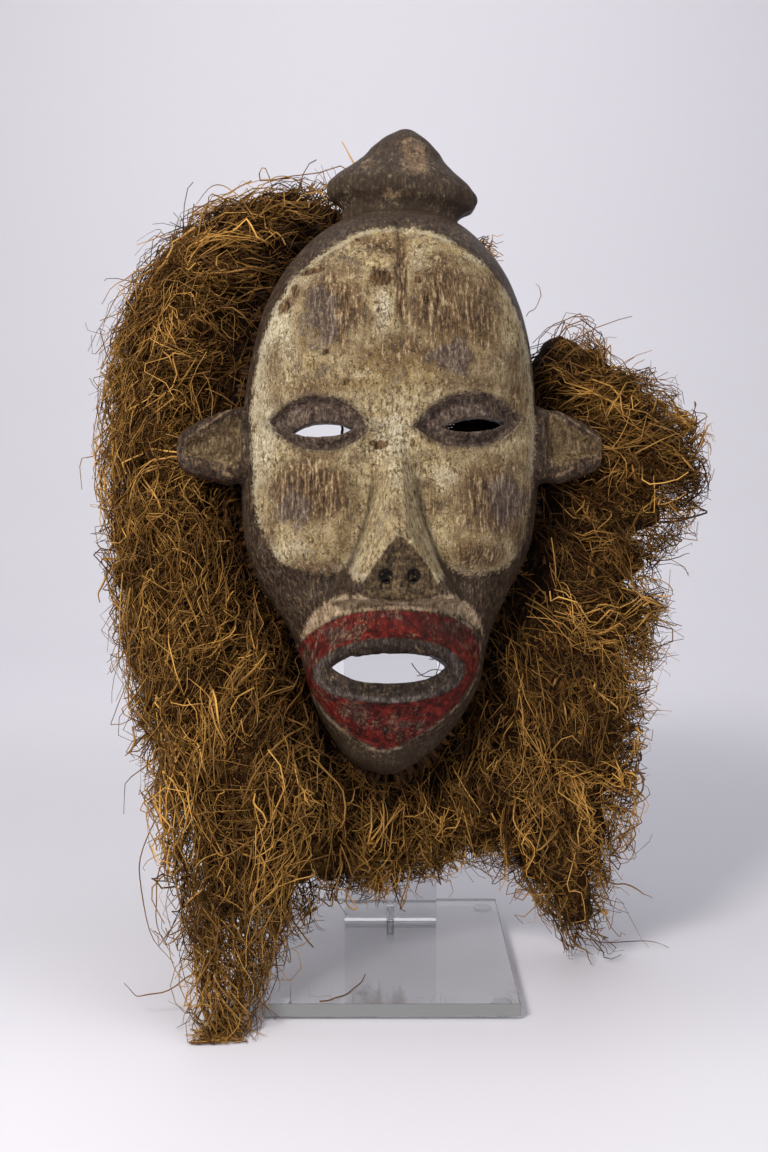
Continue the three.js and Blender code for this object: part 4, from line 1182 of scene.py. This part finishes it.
def carve_ears(points, normals):
    """Scoops the ears out, draws them a little taller and rounds their tips off."""
    u, w, n = to_mask(points)
    out, across = ear_place(u, w, 0)
    middle, front = np.interp(out, (0, 1), EAR_MIDDLE), np.interp(out, (0, 1), EAR_FRONT)
    facing, on_ear = smooth(0.1, 0.5, normals @ OUTWARD), smooth(0.0, 0.12, out)
    floor = front - (10.5 - 3 * out) * ear_scoop(out, across)
    n = np.where(out > 0.04, np.minimum(n, n + (floor - n) * facing * on_ear), n)
    w = middle + (w - middle) * (1 + EAR_GROW * smooth(0.0, 0.3, out))
    u = u - np.sign(u) * 3.0 * smooth(0.8, 1.05, out) * np.clip(np.abs(across), 0, 1) ** 2
    return from_mask(u, w, n) * 0.001


def sharpen_openings(points):
    """Draws the corners of the eye slits and the mouth to points."""
    u, w, n = to_mask(points)
    for middle_u, middle_w, half, height, tilt, pinch in OPENINGS:
        along, across = turned(u - middle_u, w - middle_w, tilt)
        a = np.abs(along) / half
        squeeze = pinch * np.where(a < 1, a ** 3, np.clip(1 - (a - 1) / 0.3, 0, 1))
        change = -across * squeeze * (1 - smooth(0.9 * height, 2.2 * height, np.abs(across)))
        shift_u, shift_w = turned(0, change * (n > 8), -tilt)
        u, w = u + shift_u, w + shift_w
    return from_mask(u, w, n) * 0.001


def paint_fields(mesh):
    """Keeps on the mesh where each paint lies."""
    u, w, n = to_mask(point_rows(mesh))
    off = np.abs(across_face(u, w)[0])
    front = 1 - smooth(5, 8, face_height(u, w) - n)
    on_front = front * (off < 1.0) > 0.5
    write_field(mesh, "carving", np.stack([u, w, n], axis=1))
    for name, outlines in (
        ("panel", (CREAM_PANEL, NOSE_FLANKS)), ("under", (NOSE_UNDER,)), ("band", (LIP_BAND,)),
        ("red", (RED_MOUTH,)),
    ):
        within = [np.minimum(inside_by(closed_curve(outline, 5), u, w), 30) for outline in outlines]
        write_field(mesh, name, np.where(on_front, np.max(within, axis=0), -20))
    for name, patches in (("worn", WORN), ("violet", VIOLET), ("ochre", OCHRE), ("cracked", CRACKED),
                          ("bright", PALE_AND_HIGHLIGHT), ("dusty", DUSTY)):
        spread = [strength * spot(u, w, *patch) for *patch, strength in patches]
        write_field(mesh, name, np.max(spread, axis=0))
    chips = [1 - smooth(0.7, 1.1, np.hypot((u - cu) / ru, (w - cw) / rw) + 0.26 * ripple(u, w, 5, 5))
             for cu, cw, ru, rw, _ in CHIPS]
    write_field(mesh, "chip", np.max(chips, axis=0) * front)
    # The nostrils, to be painted nearly black as shade
    write_field(mesh, "nostrils", nostrils(u, w) * front)
    # Painted shade: the red coat darker right of the mouth, above it
    write_field(mesh, "shaded", 0.8 * spot(u, w, 30, -116, 22, 12))
    write_field(mesh, "inner", (1 - front) * (off < 0.97) * (w < 168))

    # Painted shade in the folds beside the nose, round the eye hollows, on the chin and on the upper walls of
    # the ear scoops, and the top painted dimmer
    sizes = np.minimum(*(almond_size(eye, u, w) for eye in EYES))
    write_field(mesh, "socket", np.where(front > 0.5, (1 - sizes) * 17, -20))
    crease = bell(head_height(u, w) - nose_height(u, w), 0, 3.0) * (1 - smooth(-30, -8, w))
    grime = np.clip(crease + 0.6 * bell(sizes, 1.03, 0.06), 0, 1) * front
    dim = np.maximum(0.55 * smooth(142, 166, w), 0.62 * (1 - smooth(-194, -176, w)))
    out, across = ear_place(u, w)
    scoop = ear_scoop(out, across) * (n > 6)
    dim = np.maximum(dim, 0.75 * scoop * smooth(0.0, 0.35, across) * smooth(0.15, 0.5, out))
    write_field(mesh, "grime", np.maximum(grime, dim))
    write_field(mesh, "ear", scoop)

    # The lips, with the crest of their ring paler: partly worn, partly painted highlight, most along the
    # bottom and at the corners
    ring = np.hypot((u - MOUTH_U) / 45.5, (w - MOUTH_W) / 19)
    write_field(mesh, "lip", (1 - smooth(0.9, 1.12, ring)) * front)
    crest = bell(ring, 0.98, 0.09)
    crest *= (0.15 + 0.65 * (1 - smooth(-154, -144, w)) * (1 - smooth(5, 30, u))
              + 0.6 * (1 - smooth(-54, -44, u)) + 0.35 * smooth(24, 34, u))
    write_field(mesh, "crest", np.clip(crest, 0, 0.95))

    # The knob and the ears' edges, rubbed by hands
    knob = bell(u, 15, 15) * smooth(184, 192, w) * (1 - smooth(216, 230, w)) * smooth(20, 40, n)
    knob += 0.8 * spot(u, w, -16, 200, 10, 9)
    knob += 0.9 * spot(u, w, -2, 177, 16, 4)
    edge_line = bell(np.abs(across) - 0.9 + 0.58 * out, 0, 0.06) * (n > 6)
    edge_line *= window(0.05, 0.2, 0.85, 0.97, out)
    write_field(mesh, "rub", knob * 0.9 + 1.1 * edge_line)


class MASK_OT_carve(Operator):
    """Carves and paints the mask from its solid"""
    bl_idname = "yaka.carve_mask"
    bl_label = "Carved mask"

    def execute(self, context):
        sizes = context.scene.yaka_mask
        piece = copy_of_node("carved_mask", "mask")
        remesh(piece, sizes.voxel)
        mesh = piece.data
        points = carve_ears(round_knob(point_rows(mesh)), point_rows(mesh, "normal"))
        move_to(mesh, sharpen_openings(points))
        move_to(mesh, project_to_front(point_rows(mesh), point_rows(mesh, "normal")))
        thin_to(piece, sizes.triangles)
        paint_fields(piece.data)
        smooth_shaded(piece.data)
        finish_piece(piece, painted_wood(sizes), "carved_wood", "mask")
        return {"FINISHED"}


class MASK_OT_raffia(Operator):
    """Ties on the raffia: five bundles of strands, single ones, short ends and the dark mass inside"""
    bl_idname = "yaka.tie_raffia"
    bl_label = "Raffia ruff"

    def execute(self, context):
        sizes = context.scene.yaka_raffia
        rng = np.random.default_rng(11)
        dark, light = tuple(sizes.dark), tuple(sizes.light)
        fibre = raffia_finish("raffia_fibre", dark, light, 0.88)
        for name, first, last, share in RUFF_PARTS:
            count = int(sizes.count * share)
            mass = clumps(first, last, count, TOGETHER, STRAND_POINTS, rng, sizes, 0.0)
            stray = clumps(first, last, count // STRAY_SHARE, 1, STRAY_POINTS, rng, sizes, 1.0)
            finish_piece(strand_piece(name, (mass, stray)), fibre, "raffia", "raffia_ruff")
        single = [long_strand(np.array(places, float) + STAND, rng, thick, tone, sway)
                  for thick, tone, sway, places in LOOSE]
        single += self.behind_eye(rng) + self.tuft(rng)
        finish_piece(strand_piece("raffia_singles", grouped(single)), fibre, "raffia")
        finish_piece(strand_piece("raffia_fuzz", (self.fuzz(rng, SHORT_ENDS),)), fibre, "raffia")
        caught = [long_strand(from_mask(*np.array(places, float).T), rng, thick, 0.0, 0.3)
                  for thick, places in CAUGHT]
        black = raffia_finish("dark_fibre", (0.012, 0.008, 0.006), (0.05, 0.03, 0.02), 0.0)
        finish_piece(strand_piece("caught_fibres", grouped(caught)), black, "raffia")
        finish_piece(self.core(), raffia_mat(dark, light), "raffia")
        return {"FINISHED"}

    def behind_eye(self, rng):
        """Dark strands that cross the hollow behind the right eye."""
        strands = []
        for _ in range(EYE_FIBRES):
            w, n = rng.uniform(20, 48), rng.uniform(-18, -4)
            u = (101, 74, rng.uniform(33, 58))
            places = from_mask(u, (w, w + rng.normal(0, 5), w + rng.normal(0, 7)),
                               (n, n - 2, n + rng.normal(0, 2)))
            strands.append(long_strand(places, rng, 0.9, 0.1, 1.2, 9))
        return strands

    def tuft(self, rng):
        """A small tuft that stands up at the right temple."""
        strands = []
        for _ in range(TUFT_STRANDS):
            x, z = rng.uniform(52, 66), rng.uniform(470, 484)
            out, up = rng.uniform(4, 16), rng.uniform(8, 22)
            places = np.array(((x - 6, 64, z - 8), (x, 65, z), (x + out * 0.5, 64, z + up),
                               (x + out, 62, z + up * rng.uniform(0.5, 1.0)))) + STAND
            strands.append(long_strand(places, rng, rng.uniform(0.35, 0.6), rng.uniform(0.3, 0.9), 1.5, 9))
        return strands

    def fuzz(self, rng, count):
        """Short ends that stand up all along the knotted band."""
        rim, along, out = rim_frame(rng.uniform(-0.315, 0.465, count))
        tau, column = shares(count, 6), (count, 1)
        length = rng.uniform(8, 20, column)
        reach = rng.uniform(1, 9, column) + length * tau * rng.uniform(0.0, 0.9, column)
        slide = length * (tau - 0.5) * rng.normal(0, 0.9, column)
        n = rng.uniform(-14, 0.5, column) + length * 0.35 * tau * rng.normal(0, 1, column)
        u, w = (rim[:, k:k + 1] + out[:, k:k + 1] * reach + along[:, k:k + 1] * slide for k in (0, 1))
        path = keep_clear(from_mask(u, w, n) + waves(rng, count, tau, length[:, 0], ((16, 1.6),)))
        widths = rng.uniform(0.35, 0.55, column) * (1 - 0.5 * tau)
        # The short ends get a low depth, which paints them with shade as they lie close in against the band
        return path, widths, np.clip(rng.normal(0.45, 0.2, count), 0, 1), np.full(tau.shape, 0.35)

    def core(self):
        """The matted mass inside the ruff, along the middle lines of its locks."""
        place = np.arange(0, len(LOCKS) - 0.99, 0.5)
        t = (0.95 - 0.16 * bell(place, 8, 0.8))[:, None] * np.linspace(0, 1, 10)[None, :]
        centre, _, _, width, _ = lock_frame(place, t)
        group = (centre, width * CORE_WIDTH, np.zeros(len(place)), np.zeros(t.shape))
        piece = strand_piece("raffia_core", (group,), 8)
        remesh(piece, CORE_GRAIN)
        points, normals = point_rows(piece.data) * 1000, point_rows(piece.data, "normal")
        x, y, z = points.T
        lumps = 2.6 * ripple(x + y, z, 34, 1)
        lumps += 1.2 * ripple(x - y, 1.3 * z, 14, 2)
        move_to(piece.data, keep_clear(points + normals * lumps[:, None]) * 0.001)
        # Painted shade: the mat is darker close behind the mask's rim
        write_field(piece.data, "depth", away_from_mask(point_rows(piece.data) * 1000))
        smooth_shaded(piece.data)
        return piece


class MASK_OT_band(Operator):
    """Winds the knotted band that ties the raffia to the rim"""
    bl_idname = "yaka.wind_band"
    bl_label = "Knotted band"

    def execute(self, context):
        rng = np.random.default_rng(5)
        f = np.arange(KNOTS * 3) / (KNOTS * 3)
        at, along, out = rim_frame(f)
        tuck = BAND_TUCK * window(0.5, 0.56, 0.66, 0.72, f)
        middle = at + out * (BAND_OUTSIDE - tuck)[:, None]
        paths, widths, tones, depths = [], [], [], []
        turn = np.linspace(0, 2 * math.pi, 8)
        for k in range(len(f)):
            bulge = (6.9, 7.6, 6.9)[k % 3] + rng.uniform(-0.4, 0.4)
            lean = rng.normal(0, 0.7) + (k % 3 - 1) * 0.15
            u, w = (middle[k, :, None] + out[k, :, None] * (np.cos(turn) * bulge)
                    + along[k, :, None] * lean * np.sin(turn) * 5)
            paths.append(from_mask(u, w, -BAND_BEHIND + np.sin(turn) * bulge * 0.8 - 1.4))
            widths.append(np.full(8, rng.uniform(1.5, 2.8)))
            tones.append(np.clip(rng.normal(0.35, 0.25), 0, 1))
            # Painted shade: the band is darkened all round, less so under the chin
            depths.append(np.full(8, 0.04 + 0.26 * (1 - smooth(-70, -10, at[k, 1]))))
        group = (paths, widths, np.array(tones), depths)
        knot = raffia_finish("raffia_knots", (0.07, 0.028, 0.008), (0.32, 0.15, 0.045), 0.85)
        finish_piece(strand_piece("knotted_band", (group,), 4), knot, "raffia")
        return {"FINISHED"}


class MASK_OT_stand(Operator):
    """Gives the clear stand its acrylic"""
    bl_idname = "yaka.clear_stand"
    bl_label = "Clear stand"

    def execute(self, context):
        sizes = context.scene.yaka_stand
        clear = clear_acrylic("acrylic", 0.01, tuple(sizes.tint))
        plate_edge = clear_acrylic("acrylic_plate_edge", 0.1, (0.66, 0.67, 0.67), 0.62)
        strip_edge = clear_acrylic("acrylic_strip_edge", 0.04, (0.96, 0.97, 0.97))
        peg = clear_acrylic("acrylic_peg", 0.12, (0.96, 0.96, 0.96))
        bumper = clear_acrylic("bumper", 0.08, (0.96, 0.97, 0.97), 0.5)
        # The broad faces lie across this axis, and the narrow ones have the edge's finish
        for name, broad, edge in (("base_plate", 2, plate_edge), ("upright", 1, strip_edge)):
            piece = copy_of_node("clear_" + name, name)
            modify(piece, "BEVEL", width=sizes.edge, segments=2, limit_method="ANGLE",
                   angle_limit=math.radians(50))
            finish_piece(piece, clear, "clear_acrylic", name)
            piece.data.materials.append(edge)
            for face in piece.data.polygons:
                face.material_index = 0 if abs(face.normal[broad]) > 0.9 else 1
        for name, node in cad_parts.items():
            if name == "peg" or name.startswith("foot_"):
                clad(node, peg if name == "peg" else bumper)
        return {"FINISHED"}


class MASK_OT_stage(Operator):
    """Sets the floor, the lights and the camera"""
    bl_idname = "yaka.set_stage"
    bl_label = "Stage"

    def execute(self, context):
        sizes = context.scene.yaka_stage
        scene = context.scene
        scene.view_settings.view_transform = "Standard"
        bm = bmesh.new()
        bmesh.ops.create_grid(bm, x_segments=1, y_segments=24, size=1)
        for v in bm.verts:
            reach = (v.co.y + 1) * PAPER_LENGTH
            v.co.x *= PAPER_WIDTH
            bend = min(max(reach - PAPER_FLAT, 0) / PAPER_CURVE, 1) * math.pi / 2
            v.co.y = min(reach, PAPER_FLAT) - PAPER_FRONT + PAPER_BEND * math.sin(bend)
            v.co.z = PAPER_BEND * (1 - math.cos(bend)) + max(reach - PAPER_FLAT - PAPER_CURVE, 0) * PAPER_RISE
        bmesh.ops.recalc_face_normals(bm, faces=bm.faces)
        mesh = bpy.data.meshes.new("floor")
        bm.to_mesh(mesh)
        bm.free()
        floor = new_object("floor", mesh)
        smooth_shaded(mesh)
        f = Finish("floor_paper")
        grain = f.noise(f.object_place(), 900.0, 2)
        apart = f.number("Y", "ShaderNodeSeparateXYZ", {}, {0: f.object_place()})
        # Painted shade: the paper darker in a band across the floor around and behind the stand
        shade = apart.step(-0.2, 0.1) * (1 - apart.step(0.35, 1.1))
        paper = f.darken(tuple(sizes.floor), shade, (0.8, 0.8, 0.805))
        mesh.materials.append(f.surface(Base_Color=paper, Roughness=0.55, Normal=f.bump(grain, 0.0001, 0.2)))

        middle = Vector(STAND * 0.001) + Vector((0, 0, 0.3))
        for name, place, size, power, colour, aim in LIGHTS:
            light = bpy.data.lights.new(name, "AREA")
            light.size, light.energy, light.color = size, power, colour
            lamp = new_object(name, light)
            lamp.location = middle + Vector(place)
            way = middle + Vector(aim) - lamp.location
            lamp.rotation_euler = way.to_track_quat("-Z", "Y").to_euler()
        world = bpy.data.worlds.new("studio")
        world.use_nodes = True
        sky = world.node_tree.nodes["Background"].inputs
        sky["Color"].default_value, sky["Strength"].default_value = SKY_COLOUR, SKY_STRENGTH
        scene.world = world

        view = bpy.data.cameras.new("camera")
        view.sensor_width, view.lens, view.clip_end = 36, sizes.lens, 50
        camera = new_object("camera", view)
        camera.location = Vector((np.array(CAMERA_PLACE) + STAND) * 0.001)
        camera.rotation_euler = (math.pi / 2 - sizes.pitch, 0, 0)
        scene.camera = camera
        return {"FINISHED"}


class MASK_PT_panel(Panel):
    """The mask's pieces and their sizes"""
    bl_idname = "MASK_PT_panel"
    bl_label = "Yaka Mask"
    bl_space_type = "VIEW_3D"
    bl_region_type = "UI"
    bl_category = "Yaka Mask"

    def draw(self, context):
        for name, _, operators in GROUPS:
            box, settings = self.layout.box(), getattr(context.scene, name)
            for value in settings.__annotations__:
                box.prop(settings, value)
            for operator in operators:
                box.operator(operator.bl_idname)


# Each group of the panel: where its settings are kept, what they are, and the pieces that they shape
GROUPS = (
    ("yaka_mask", MaskSettings, (MASK_OT_carve,)),
    ("yaka_raffia", RaffiaSettings, (MASK_OT_raffia, MASK_OT_band)),
    ("yaka_stand", StandSettings, (MASK_OT_stand,)),
    ("yaka_stage", StageSettings, (MASK_OT_stage,)),
)
CLASSES = [cls for _, settings, operators in GROUPS for cls in (settings, *operators)] + [MASK_PT_panel]


def register():
    for cls in CLASSES:
        bpy.utils.register_class(cls)
    for name, settings, _ in GROUPS:
        setattr(bpy.types.Scene, name, PointerProperty(type=settings))


def unregister():
    for name, _, _ in GROUPS:
        delattr(bpy.types.Scene, name)
    for cls in reversed(CLASSES):
        bpy.utils.unregister_class(cls)


def main():
    register()
    bpy.ops.yaka.set_stage()
    bpy.ops.yaka.carve_mask()
    bpy.ops.yaka.tie_raffia()
    bpy.ops.yaka.wind_band()
    bpy.ops.yaka.clear_stand()


if __name__ == "__main__":
    main()
